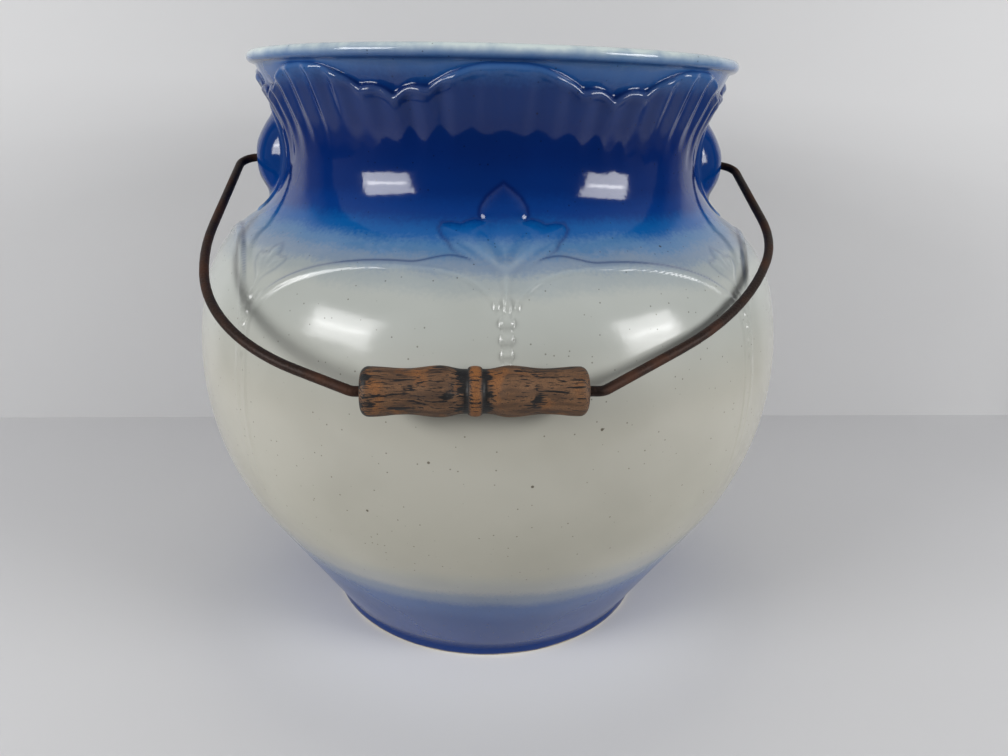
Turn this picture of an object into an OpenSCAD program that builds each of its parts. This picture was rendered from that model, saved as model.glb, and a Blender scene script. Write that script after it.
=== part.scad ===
// Slop jar: a glazed stoneware jar with a fluted petal collar, two luted ears
// and a wire bail that carries a turned wooden grip.
// Millimetres, +Z up, origin at the centre of the flat foot. The ears lie on X,
// and the bail hangs to the front, towards -Y.

/* [Foot] */
// Diameter of the flat foot
foot_d = 184; // [150:1:210]
// Height of the upright band above the foot
foot_h = 5; // [2:0.5:12]
// Bevel round the foot's lower edge
foot_bevel = 1.2; // [0.5:0.1:1.8]

/* [Belly and shoulder] */
// Widest diameter of the belly
belly_d = 307.8; // [285:0.1:335]
// Height of the widest part of the belly
belly_z = 146.5; // [130:0.5:170]
// Radius of the belly's upright curve
belly_curve = 145; // [125:1:150]
// Angle above level at which the belly turns into the shoulder
shoulder_from = 16; // [8:1:24]
// Radius of the shoulder's tighter curve
shoulder_curve = 55.5; // [45:0.5:65]

/* [Neck and rim] */
// Diameter of the neck at its waist
neck_d = 210.6; // [195:0.2:226]
// Radius of the hollow curve of the neck
neck_curve = 36.5; // [28:0.5:44]
// Lean of the collar from upright
flare = 24.5; // [18:0.5:30]
// Height from the neck's waist to the top of the rim
collar_h = 44.2; // [38:0.2:56]
// Diameter of the rolled edge of the rim
rim_roll_d = 5.4; // [4.6:0.2:8]
// How far the rolled edge stands out from the band under it
rim_out = 3.4; // [2.8:0.2:5]

/* [Wall] */
// Thickness of the wall
wall = 8; // [6:0.5:10]
// Thickness of the floor
floor_t = 10; // [6:0.5:16]

/* [Petal collar] */
// Number of petals round the collar
petals = 8; // [6:1:10]
// Flutes on each petal
petal_flutes = 7; // [5:1:8]
// How far the petals stand out from the band under the rim
petal_proud = 2.2; // [2:0.1:3]
// Height of the bare band between the rim and the top of a petal
band_gap = 1.9; // [1.2:0.1:3]
// Height from the top of a petal down to the notch between two petals
notch_drop = 11.7; // [11:0.1:13]
// Width of the level crown of a petal's middle lobe
lobe_w = 14; // [10:0.5:18]
// Radius of the arch on each side of that crown
lobe_r = 55; // [48:1:62]
// Drop from the middle lobe to the top of the lobe on each side of it
side_drop = 8; // [7.4:0.1:8.6]
// Distance from a notch to the top of the lobe beside it
side_at = 10.7; // [9.5:0.1:12]
// Depth of a flute
flute_depth = 1.7; // [0.8:0.1:1.9]
// Radius of a flute's hollow
flute_r = 9; // [7:0.2:10]
// Height above the waist at which a flute's round end starts
flute_from = 12; // [8:0.5:16]

/* [Ears] */
// Height of the bail's pivot below the neck's waist
ear_drop = 5.6; // [0:0.2:8]
// How far an ear's outer face stands out from the neck's waist
ear_stand = 15; // [13:0.1:20]
// Radius of an ear's dome
ear_dome = 23; // [20:0.5:25]
// Radius of the flat face round the pivot hole
ear_face_r = 10.5; // [7:0.5:12]
// Radius of the pad under an ear
ear_pad_r = 25; // [23:0.5:29]
// How far the pad stands out from the neck
ear_pad_t = 1.6; // [0.8:0.2:3]
// How deep the ear is luted into the wall
ear_sink = 2; // [1.8:0.1:4]
// Clay between the bottom of the pivot hole and the neck's waist
ear_hole_floor = 3; // [2.5:0.1:5]

/* [Bail] */
// Diameter of the bail's wire
wire_d = 4; // [3.6:0.1:5]
// Distance from the pivot to the grip's axis
bail_reach = 175; // [165:0.5:190]
// Radius of the bend beside each ear
elbow_r = 8.6; // [7:0.1:12]
// Straight wire between an ear's face and that bend
elbow_run = 0.9; // [0.6:0.1:3]
// Size of the bends by which the legs come in to the grip
bend_size = 175; // [165:0.5:178]
// Bends of the left leg from the ear down: straight run before it and radius, both as
// parts of that size, and angle
left_bends = [[0, 0.857, 15], [0, 0.537, 47], [0.131, 0.04, 28]];
// Bends of the right leg from the ear down, in the same way
right_bends = [[0, 0.461, 27], [0, 0.943, 28], [0.2217, 0.04, 35]];

/* [Grip] */
// Length of the wooden grip
grip_l = 82; // [72:0.5:84]
// Diameter at the two swellings beside the middle bead
grip_d = 18.8; // [17:0.2:22]
// Diameter of the middle bead
bead_d = 18.4; // [17:0.2:20]
// Width of the middle bead
bead_w = 5.4; // [3:0.2:7]
// Diameter at the bottom of the groove on each side of the bead
groove_d = 16.2; // [13:0.2:16.8]
// Width of that groove's floor
groove_w = 1.2; // [0.6:0.1:2]
// Diameter at the two waists
grip_waist_d = 16.7; // [13:0.1:18]
// Diameter at the swelling near each end
grip_end_d = 18.2; // [15:0.2:20]
// Distance from the middle to a swelling
swell_at = 12.5; // [10:0.5:15]
// Distance from the middle to a waist
grip_waist_at = 25; // [20:0.5:28]
// Rounding of the grip's ends
grip_round = 3; // [1:0.2:4]
// How far the grip has slid from the middle of the wire's straight run
grip_slide = -1.2; // [-1.2:0.1:1.2]

/* [Fits] */
// Radial room of the wire in an ear's hole
hole_room = 0.4; // [0.2:0.1:0.9]
// Radial room of the wire in the grip
bore_room = 0.4; // [0.2:0.1:0.9]
// Room between the grip and the belly where the bail comes to rest
rest_room = 0.4; // [0.3:0.1:0.9]
// Room between the wire's end and the bottom of its hole
end_room = 1; // [0.5:0.1:3]

/* [Hidden] */
$fn = 180;
// A length past every edge that is cut
past = 400;
// Steps of a smooth outline between two of its stations
smooth_steps = 8;
// Part of the mouth's radius at which the cut between two petals starts
notch_reach = 0.85;
// Angle by which the slice that cuts a flute is wider than the flute
flute_spare = 4;
// Swelling of the wire where a bend starts and ends
bend_swell = 0.03;

function polar(c, r, a) = c + r * [cos(a), sin(a)];

// Centres of the wall's three curves, as [radius, height]
belly_c = [belly_d / 2 - belly_curve, belly_z];
shoulder_c = polar(belly_c, belly_curve - shoulder_curve, shoulder_from);
neck_out = neck_d / 2 + neck_curve - shoulder_c[0];
waist_z = shoulder_c[1] + sqrt(pow(shoulder_curve + neck_curve, 2) - pow(neck_out, 2));
neck_c = [neck_d / 2 + neck_curve, waist_z];
shoulder_to = atan2(neck_c[1] - shoulder_c[1], neck_c[0] - shoulder_c[0]);
// The straight lower wall leaves the top of the foot's band and meets the belly's curve here
foot_top = [foot_d / 2, foot_h];
belly_from = atan2(foot_top[1] - belly_c[1], foot_top[0] - belly_c[0])
    + acos(belly_curve / norm(foot_top - belly_c));

// Heights of the rim, the petals and the pivot
jar_h = waist_z + collar_h;
lip_r = rim_roll_d / 2;
lip_z = jar_h - lip_r;
band_top = jar_h - rim_roll_d;
petal_top = band_top - band_gap;
pivot_z = waist_z - ear_drop;
// Radius of the leaning collar at height z, moved inwards by inset
function collar_r(z, inset = 0) =
    neck_c[0] - (neck_curve + inset) / cos(flare) + (z - neck_c[1]) * tan(flare);
rim_r = collar_r(band_top, petal_proud) + rim_out;
mouth_r = collar_r(band_top, wall);

// Scallops, face on to a notch: where the middle lobes lie and end, the height of the middle
// of their arch, and the lobe beside the notch
petal_r = collar_r(petal_top);
petal_at = petal_r * sin(180 / petals);
lobe_at = petal_at - lobe_w / 2;
lobe_z = petal_top - sqrt(pow(lobe_r, 2) - pow(lobe_w / 2, 2));
side_sag = notch_drop - side_drop;
side_r = (pow(side_at, 2) + pow(side_sag, 2)) / (2 * side_sag);
notch_z = petal_top - notch_drop;

flutes = petals * petal_flutes;
// Flutes: the place of the ball at the lower end of the hollow, and its length
flute_z = waist_z + flute_from;
flute_stand = flute_r - flute_depth;
flute_slice = acos(flute_stand / flute_r) + flute_spare;
flute_x = collar_r(flute_z) + flute_stand * cos(flare);
flute_l = (petal_top + band_gap / 4 - flute_z) / cos(flare);

// Ears: the centre of the dome along X
ear_face_x = neck_d / 2 + ear_stand;
ear_hole_depth = ear_stand - ear_hole_floor;
ear_dome_x = ear_face_x - sqrt(pow(ear_dome, 2) - pow(ear_face_r, 2));

// Bail: how far below level it hangs when the grip lies against the belly's curve
grip_stand = belly_curve + max(grip_d, bead_d, grip_end_d) / 2 + rest_room;
to_belly = [belly_c[0], pivot_z - belly_c[1]];
hang = atan2(to_belly[1], to_belly[0])
    - acos((pow(bail_reach, 2) + pow(norm(to_belly), 2) - pow(grip_stand, 2))
        / (2 * bail_reach * norm(to_belly)));
// The straight run before a bend and the bend's radius
function bend_run(bends, i) = bend_size * bends[i][0];
function bend_r(bends, i) = bend_size * bends[i][1];
// What a leg's bends take up down the leg and inwards
function turned(bends, i) = i == 0 ? 0 : turned(bends, i - 1) + bends[i - 1][2];
function bends_down(bends, i = 0) = i == len(bends) ? 0
    : bend_run(bends, i) * cos(turned(bends, i))
        + bend_r(bends, i) * (sin(turned(bends, i + 1)) - sin(turned(bends, i)))
        + bends_down(bends, i + 1);
function bends_in(bends, i = 0) = i == len(bends) ? 0
    : bend_run(bends, i) * sin(turned(bends, i))
        + bend_r(bends, i) * (cos(turned(bends, i)) - cos(turned(bends, i + 1)))
        + bends_in(bends, i + 1);
leg_x = ear_face_x + elbow_run + elbow_r;
stub_l = ear_hole_depth - end_room + elbow_run;
run_from = bends_in(left_bends) - leg_x;
run_to = leg_x - bends_in(right_bends);
grip_x = (run_from + run_to) / 2 + grip_slide;

// The part of a disc between two angles, on the right of the axis
module sector(c, r, from, to) {
    intersection() {
        translate(c) circle(r);
        polygon([
            [max(c[0], 0), c[1]],
            polar(c, past, from),
            polar(c, past, (from + to) / 2),
            polar(c, past, to)
        ]);
    }
}

// Half section of all that lies inside the wall's outer face, moved inwards by
// inset and cut level at the heights low and high
module wall_section(inset, low, high) {
    low_at = polar(belly_c, belly_curve - inset, belly_from);
    difference() {
        union() {
            polygon([
                [0, low],
                [low_at[0] + (low_at[1] - low) * tan(belly_from), low],
                low_at,
                polar(belly_c, belly_curve - inset, shoulder_from),
                polar(shoulder_c, shoulder_curve - inset, shoulder_to),
                polar(neck_c, neck_curve + inset, 180 - flare),
                [collar_r(high, inset), high],
                [0, high]
            ]);
            sector(belly_c, belly_curve - inset, belly_from, shoulder_from);
            sector(shoulder_c, shoulder_curve - inset, shoulder_from, shoulder_to);
        }
        sector(neck_c, neck_curve + inset, 180 - flare, 180 + shoulder_to);
    }
}

// Half section of the bare band and the rolled rim above it, before the hollow is cut
module rim_section() {
    band_low = notch_z - petal_proud;
    polygon([
        [collar_r(band_low, 2 * wall), band_low],
        [collar_r(band_low, petal_proud), band_low],
        [collar_r(lip_z, petal_proud), lip_z],
        [mouth_r, lip_z],
        [mouth_r, band_top]
    ]);
    translate([rim_r - lip_r, lip_z]) circle(lip_r);
    translate([mouth_r + lip_r, lip_z]) circle(lip_r);
    translate([mouth_r + lip_r, lip_z - lip_r])
        square([rim_r - mouth_r - 2 * lip_r, 2 * lip_r]);
}

// Half section of the solid jar up to the tops of the petals
module body_section() {
    polygon([
        [0, 0],
        [foot_d / 2 - foot_bevel, 0],
        [foot_d / 2, foot_bevel],
        foot_top,
        [0, foot_h]
    ]);
    wall_section(0, foot_h, petal_top);
}

// What is cut away between the middle lobes of two petals, face on to their notch
module notch_shape() {
    difference() {
        translate([-lobe_at, notch_z]) square([2 * lobe_at, notch_drop + band_gap / 2]);
        union() {
            for (side = [-1, 1]) {
                translate([side * side_at, notch_z + side_sag - side_r]) circle(side_r);
                translate([side * petal_at, lobe_z]) circle(lobe_r);
            }
        }
    }
}

module notch_cut() {
    translate([0, -mouth_r * notch_reach, 0]) rotate([90, 0, 0])
        linear_extrude(past) notch_shape();
}

// One flute: a slice of a round bar with a ball end, leaning with the collar
module flute_cut() {
    translate([0, -flute_x, flute_z - flute_stand * sin(flare)])
        rotate([flare, 0, 0])
            rotate(90 - flute_slice)
                rotate_extrude(angle = 2 * flute_slice) {
                    square([flute_r, flute_l]);
                    sector([0, 0], flute_r, -90, 0);
                }
}

// The outside of the jar with its flutes and the scalloped edge above them
module petalled_body() {
    difference() {
        difference() {
            rotate_extrude() body_section();
            for (k = [0 : flutes - 1])
                rotate(k * 360 / flutes) flute_cut();
        }
        for (p = [0 : petals - 1])
            rotate((p + 0.5) * 360 / petals) notch_cut();
    }
}

module jar_body() {
    color("#d7d6cc")
        difference() {
            union() {
                petalled_body();
                rotate_extrude() rim_section();
            }
            rotate_extrude() wall_section(wall, floor_t, band_top);
        }
}

// Half section of an ear's dome and its blind pivot hole, seen along the pivot
module ear_section() {
    difference() {
        intersection() {
            translate([0, ear_dome_x]) circle(ear_dome);
            square([past, ear_face_x]);
        }
        translate([0, ear_face_x - ear_hole_depth]) square([wire_d / 2 + hole_room, past]);
    }
}

// An ear on the +X side: a domed boss on a round pad, cut to the curve of the neck
module ear() {
    difference() {
        union() {
            translate([0, 0, pivot_z]) rotate([0, 90, 0]) rotate_extrude() ear_section();
            intersection() {
                translate([0, 0, pivot_z]) rotate([0, 90, 0]) cylinder(r = ear_pad_r, h = past);
                rotate_extrude() wall_section(-ear_pad_t, foot_h, petal_top);
            }
        }
        rotate_extrude() wall_section(ear_sink, foot_h, petal_top);
    }
}

module ear_left() {
    color("#2450a0") mirror([1, 0, 0]) ear();
}

module ear_right() {
    color("#2450a0") ear();
}

// Lays a straight piece of wire along +Y and puts what follows at its end
module straight(l) {
    if (l > 0) rotate([-90, 0, 0]) cylinder(d = wire_d, h = l);
    translate([0, l, 0]) children();
}

// Bends the wire from +Y towards -X and puts what follows at its end, with a hair
// of swelling at both ends of the bend
module bend(r, a) {
    sphere(wire_d / 2 + bend_swell);
    translate([-r, 0, 0]) {
        rotate_extrude(angle = a) translate([r, 0]) circle(d = wire_d);
        rotate(a) translate([r, 0, 0]) {
            sphere(wire_d / 2 + bend_swell);
            children();
        }
    }
}

// The bends of a leg down from its ear, with what follows at the end
module bent_down(bends, i = 0) {
    if (i < len(bends))
        straight(bend_run(bends, i)) bend(bend_r(bends, i), bends[i][2])
            bent_down(bends, i + 1) children();
    else
        children();
}

// The same bends taken from the other end, up to the ear
module bent_up(bends, i) {
    if (i >= 0)
        bend(bend_r(bends, i), bends[i][2]) straight(bend_run(bends, i))
            bent_up(bends, i - 1) children();
    else
        children();
}

// The straight part of a leg, between its elbow and its bends
function leg_l(bends) = bail_reach - elbow_r - bends_down(bends);

// The wire from the right ear to the left one, lying flat with its legs along +Y
module flat_bail() {
    translate([leg_x - elbow_r - stub_l, 0, 0]) rotate(-90)
        straight(stub_l) bend(elbow_r, 90)
        straight(leg_l(right_bends)) bent_down(right_bends)
        straight(run_to - run_from)
        bent_up(left_bends, len(left_bends) - 1) straight(leg_l(left_bends))
        bend(elbow_r, 90) straight(stub_l);
}

// Hangs what lies flat on the front of the jar, at the bail's pivot
module hung() {
    translate([0, 0, pivot_z]) rotate([hang, 0, 0]) mirror([0, 1, 0]) children();
}

module bail_wire() {
    color("#3b2923") hung() flat_bail();
}

// Half outline of the turned grip from its middle to one end, as [along, radius]
function eased(a, b) =
    [for (i = [1 : smooth_steps]) let (t = i / smooth_steps)
        [a[0] + (b[0] - a[0]) * t, (a[1] + b[1]) / 2 + (a[1] - b[1]) / 2 * cos(180 * t)]];
bead_outline = [for (i = [0 : smooth_steps]) let (a = 90 * i / smooth_steps)
    [bead_w / 2 * sin(a), groove_d / 2 + (bead_d - groove_d) / 2 * cos(a)]];
groove_end = [bead_w / 2 + groove_w, groove_d / 2];
swelling = [swell_at, grip_d / 2];
grip_waist = [grip_waist_at, grip_waist_d / 2];
end_swelling = [grip_l / 2 - grip_round, grip_end_d / 2];
end_outline = [for (i = [1 : smooth_steps])
    polar(end_swelling - [0, grip_round], grip_round, 90 - 90 * i / smooth_steps)];
grip_outline = concat(
    bead_outline, [groove_end], eased(groove_end, swelling), eased(swelling, grip_waist),
    eased(grip_waist, end_swelling), end_outline);

module half_grip() {
    bore = wire_d / 2 + bore_room;
    rotate_extrude()
        polygon(concat(
            [[bore, 0]],
            [for (p = grip_outline) [p[1], p[0]]],
            [[bore, grip_l / 2]]));
}

module grip() {
    color("#8d5f3a")
        hung() translate([grip_x, bail_reach, 0]) rotate([0, 90, 0]) {
            half_grip();
            mirror([0, 0, 1]) half_grip();
        }
}

jar_body();
ear_left();
ear_right();
bail_wire();
grip();
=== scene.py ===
"""Dresses the slop jar: a glazed stoneware jar with a petal collar, two ears, a wire bail and a turned grip.

Lengths are in millimetres and angles in degrees until a mesh is published, which turns them into metres.
Angles round the jar start at the front, -Y, and run towards +X, so that a point at angle t and radius r
lies at (r sin t, -r cos t).
"""

import logging
import math
from collections.abc import Mapping, Sequence
from dataclasses import dataclass
from enum import Enum
from typing import Any

import bpy
import numpy as np
from mathutils import Matrix, Vector

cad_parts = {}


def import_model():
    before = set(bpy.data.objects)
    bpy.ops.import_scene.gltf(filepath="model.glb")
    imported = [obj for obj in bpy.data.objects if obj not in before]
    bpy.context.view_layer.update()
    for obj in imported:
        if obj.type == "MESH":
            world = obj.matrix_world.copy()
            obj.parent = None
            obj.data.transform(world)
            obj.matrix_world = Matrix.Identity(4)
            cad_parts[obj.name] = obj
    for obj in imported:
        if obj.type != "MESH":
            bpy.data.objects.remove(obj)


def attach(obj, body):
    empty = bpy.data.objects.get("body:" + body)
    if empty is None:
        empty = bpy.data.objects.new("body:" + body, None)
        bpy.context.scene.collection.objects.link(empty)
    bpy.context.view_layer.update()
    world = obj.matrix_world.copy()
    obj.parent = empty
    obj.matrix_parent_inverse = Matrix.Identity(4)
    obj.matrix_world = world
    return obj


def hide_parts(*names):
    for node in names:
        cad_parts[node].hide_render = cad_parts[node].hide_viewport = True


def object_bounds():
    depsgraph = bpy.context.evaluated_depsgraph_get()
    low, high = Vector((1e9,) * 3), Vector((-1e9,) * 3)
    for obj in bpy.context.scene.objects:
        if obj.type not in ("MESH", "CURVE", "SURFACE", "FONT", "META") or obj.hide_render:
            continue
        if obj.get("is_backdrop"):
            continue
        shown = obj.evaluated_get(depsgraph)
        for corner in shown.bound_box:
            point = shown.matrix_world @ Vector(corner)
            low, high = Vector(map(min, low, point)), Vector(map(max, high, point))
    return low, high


LOG = logging.getLogger("slop_jar")
MM = 0.001
TINY = 1e-9

Array = np.ndarray
Colour = tuple[float, float, float]
Pair = tuple[float, float]


class Body(Enum):
    """The bodies that pieces ride on."""

    JAR = "jar"
    BAIL = "bail"
    GRIP = "grip"


class Slot(Enum):
    """The material slots of the record."""

    GLAZE = "glaze"
    EAR_GLAZE = "ear_glaze"
    IRON = "iron"
    WOOD = "wood"


class Side(Enum):
    """The two sides of the jar, as the sign of X."""

    LEFT = -1
    RIGHT = 1


def eased(low: float, high: float, value: Array) -> Array:
    """A smooth step from 0 at low to 1 at high: u² (3 - 2u), where u is the clipped share of the way.

    Args:
        low: Value at which the step starts.
        high: Value at which the step ends.
        value: Values to ease.

    Returns:
        The eased values, from 0 to 1.
    """
    share = np.clip((value - low) / (high - low), 0.0, 1.0)
    return share * share * (3.0 - 2.0 * share)


def swell(value: Array, width: float) -> Array:
    """A bell curve that is 1 at zero: exp(-(value / width)²)."""
    return np.exp(-np.square(value / width))


def nearest(angle: Array, period: float) -> Array:
    """The angle from the nearest multiple of a period, in the angle's own unit."""
    return (angle + period / 2) % period - period / 2


def full_turn(count: int) -> Array:
    """Angles of evenly spaced points round a full turn, in radians, from 0."""
    return np.arange(count) * 2.0 * math.pi / count


def rolling(angle: Array, height: Array | float, seed: int, count: int = 5) -> Array:
    """A slow hand-made unevenness: a sum of waves over the angle and the height with seeded phases.

    Args:
        angle: Angles round the piece, in radians.
        height: Heights or lengths along the piece, in units of one wave.
        seed: Seed of the phases.
        count: Number of waves.

    Returns:
        The sum, about -1 to 1, closed over a full turn.
    """
    draw = np.random.default_rng(seed)
    turns = draw.integers(1, 5, count).reshape(-1, *([1] * angle.ndim))
    rise = draw.uniform(0.4, 1.6, count).reshape(turns.shape)
    phase = draw.uniform(0.0, 2.0 * np.pi, count).reshape(turns.shape)
    return np.sin(turns * angle + rise * height + phase).mean(axis=0)


class Surface:
    """Points and faces that are joined into one mesh."""

    def __init__(self, name: str) -> None:
        """Starts an empty surface with the name of its piece."""
        self.name = name
        self.points: list[Array] = []
        self.values: list[dict[str, Array]] = []
        self.triangles: list[Array] = []
        self.quads: list[Array] = []
        self.count = 0

    def add_points(self, points: Array, values: Mapping[str, Array] | None = None) -> Array:
        """Adds a grid of points.

        Args:
            points: Places in millimetres, with x, y and z on the last axis.
            values: Point values by attribute name, shaped as the grid.

        Returns:
            The points' numbers, shaped as the grid.
        """
        shape = points.shape[:-1]
        numbers = self.count + np.arange(int(np.prod(shape))).reshape(shape)
        self.points.append(points.reshape(-1, 3))
        self.values.append({name: np.broadcast_to(v, shape).ravel() for name, v in (values or {}).items()})
        self.count += numbers.size
        return numbers

    def fill_grid(self, numbers: Array, close_rows: bool = False) -> None:
        """Fills a grid whose columns close on themselves with quads.

        Args:
            numbers: Point numbers in rows and columns.
            close_rows: Whether the last row joins the first.
        """
        low = numbers if close_rows else numbers[:-1]
        high = np.roll(numbers, -1, axis=0) if close_rows else numbers[1:]
        corners = (low, np.roll(low, -1, axis=1), np.roll(high, -1, axis=1), high)
        self.quads.append(np.stack(corners, axis=-1).reshape(-1, 4))

    def zip_rings(self, low: Array, low_angles: Array, high: Array, high_angles: Array) -> None:
        """Joins two rings with different numbers of points by triangles.

        Walking up the angles of both rings, each edge of one ring gets a triangle whose third corner
        is the last point of the other ring that was passed.

        Args:
            low: Point numbers of the lower ring.
            low_angles: Its angles, rising from 0.
            high: Point numbers of the upper ring.
            high_angles: Its angles, rising from 0.
        """
        low_ends = np.append(low_angles, 2.0 * np.pi)
        high_ends = np.append(high_angles, 2.0 * np.pi)
        over = np.searchsorted(high_ends, low_ends[1:], side="left") - 1
        under = (np.searchsorted(low_ends, high_ends[1:], side="right") - 1) % len(low)
        self.triangles.append(np.stack([low, np.roll(low, -1), high[over]], axis=-1))
        self.triangles.append(np.stack([np.roll(high, -1), high, low[under]], axis=-1))

    def cap(self, ring: Array, pole: int, is_end: bool) -> None:
        """Closes a ring with a fan of triangles round one point.

        Args:
            ring: Point numbers of the ring.
            pole: Number of the middle point.
            is_end: Whether the pole comes after the ring, rather than before it.
        """
        first, second = (ring, np.roll(ring, -1)) if is_end else (np.roll(ring, -1), ring)
        self.triangles.append(np.stack([first, second, np.full_like(ring, pole)], axis=-1))

    def fill_tube(self, points: Array, ends: Array, values: Mapping[str, Array] | None = None) -> None:
        """Adds rows of points with a middle point at each end, and fills them to a closed piece.

        Args:
            points: Rows and columns of places, in millimetres.
            ends: The two middle points.
            values: Point values by attribute name, shaped as the rows and columns.
        """
        poles = self.add_points(ends)
        numbers = self.add_points(points, values)
        self.fill_grid(numbers)
        self.cap(numbers[0], int(poles[0]), is_end=False)
        self.cap(numbers[-1], int(poles[1]), is_end=True)

    def publish(self) -> bpy.types.Object:
        """Puts the surface into a mesh in metres and links its object to the scene.

        Returns:
            The new object, at the origin.
        """
        points = np.concatenate(self.points) * MM
        quads = np.concatenate(self.quads) if self.quads else np.zeros((0, 4), int)
        triangles = np.concatenate(self.triangles) if self.triangles else np.zeros((0, 3), int)
        starts = [np.arange(len(quads)) * 4, quads.size + np.arange(len(triangles)) * 3]
        mesh = bpy.data.meshes.new(self.name)
        mesh.vertices.add(len(points))
        mesh.vertices.foreach_set("co", points.ravel())
        mesh.loops.add(quads.size + triangles.size)
        mesh.loops.foreach_set("vertex_index", np.concatenate([quads.ravel(), triangles.ravel()]))
        mesh.polygons.add(len(quads) + len(triangles))
        mesh.polygons.foreach_set("loop_start", np.concatenate(starts))
        mesh.update(calc_edges=True)
        mesh.validate()
        for name in sorted({key for held in self.values for key in held}):
            parts = [held.get(name, np.zeros(len(p))) for held, p in zip(self.values, self.points)]
            attribute = mesh.attributes.new(name, "FLOAT", "POINT")
            attribute.data.foreach_set("value", np.concatenate(parts).astype(np.float32))
        mesh.shade_smooth()
        piece = bpy.data.objects.new(self.name, mesh)
        bpy.context.scene.collection.objects.link(piece)
        LOG.info("%s: %d points, %d triangles", self.name, len(points), 2 * len(quads) + len(triangles))
        return piece


class Value:
    """A socket of a shader tree, whose operators add Math nodes."""

    def __init__(self, tree: "Tree", socket: bpy.types.NodeSocket) -> None:
        """Holds a socket and the tree that it belongs to."""
        self.tree = tree
        self.socket = socket

    def math(self, operation: str, *terms: "Value | float") -> "Value":
        """Adds a Math node with these terms."""
        return self.tree.node("ShaderNodeMath", {"operation": operation}, dict(enumerate(terms)))

    def __add__(self, other: "Value | float") -> "Value":
        """Adds."""
        return self.math("ADD", self, other)

    __radd__ = __add__

    def __sub__(self, other: "Value | float") -> "Value":
        """Subtracts."""
        return self.math("SUBTRACT", self, other)

    def __rsub__(self, other: float) -> "Value":
        """Subtracts from a number."""
        return self.math("SUBTRACT", other, self)

    def __mul__(self, other: "Value | float") -> "Value":
        """Multiplies."""
        return self.math("MULTIPLY", self, other)

    def __truediv__(self, other: "Value | float") -> "Value":
        """Divides."""
        return self.math("DIVIDE", self, other)

    def __pow__(self, other: "Value | float") -> "Value":
        """Raises to a power."""
        return self.math("POWER", self, other)

    def step(self, low: float, high: float) -> "Value":
        """Eases from 0 at low to 1 at high."""
        ends = {"From Min": low, "From Max": high, "To Min": 0.0, "To Max": 1.0}
        return self.tree.node(
            "ShaderNodeMapRange", {"interpolation_type": "SMOOTHSTEP"}, {"Value": self, **ends}
        )

    def clipped(self) -> "Value":
        """Holds to the range from 0 to 1."""
        return self.tree.node("ShaderNodeClamp", {}, {"Value": self})


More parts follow.
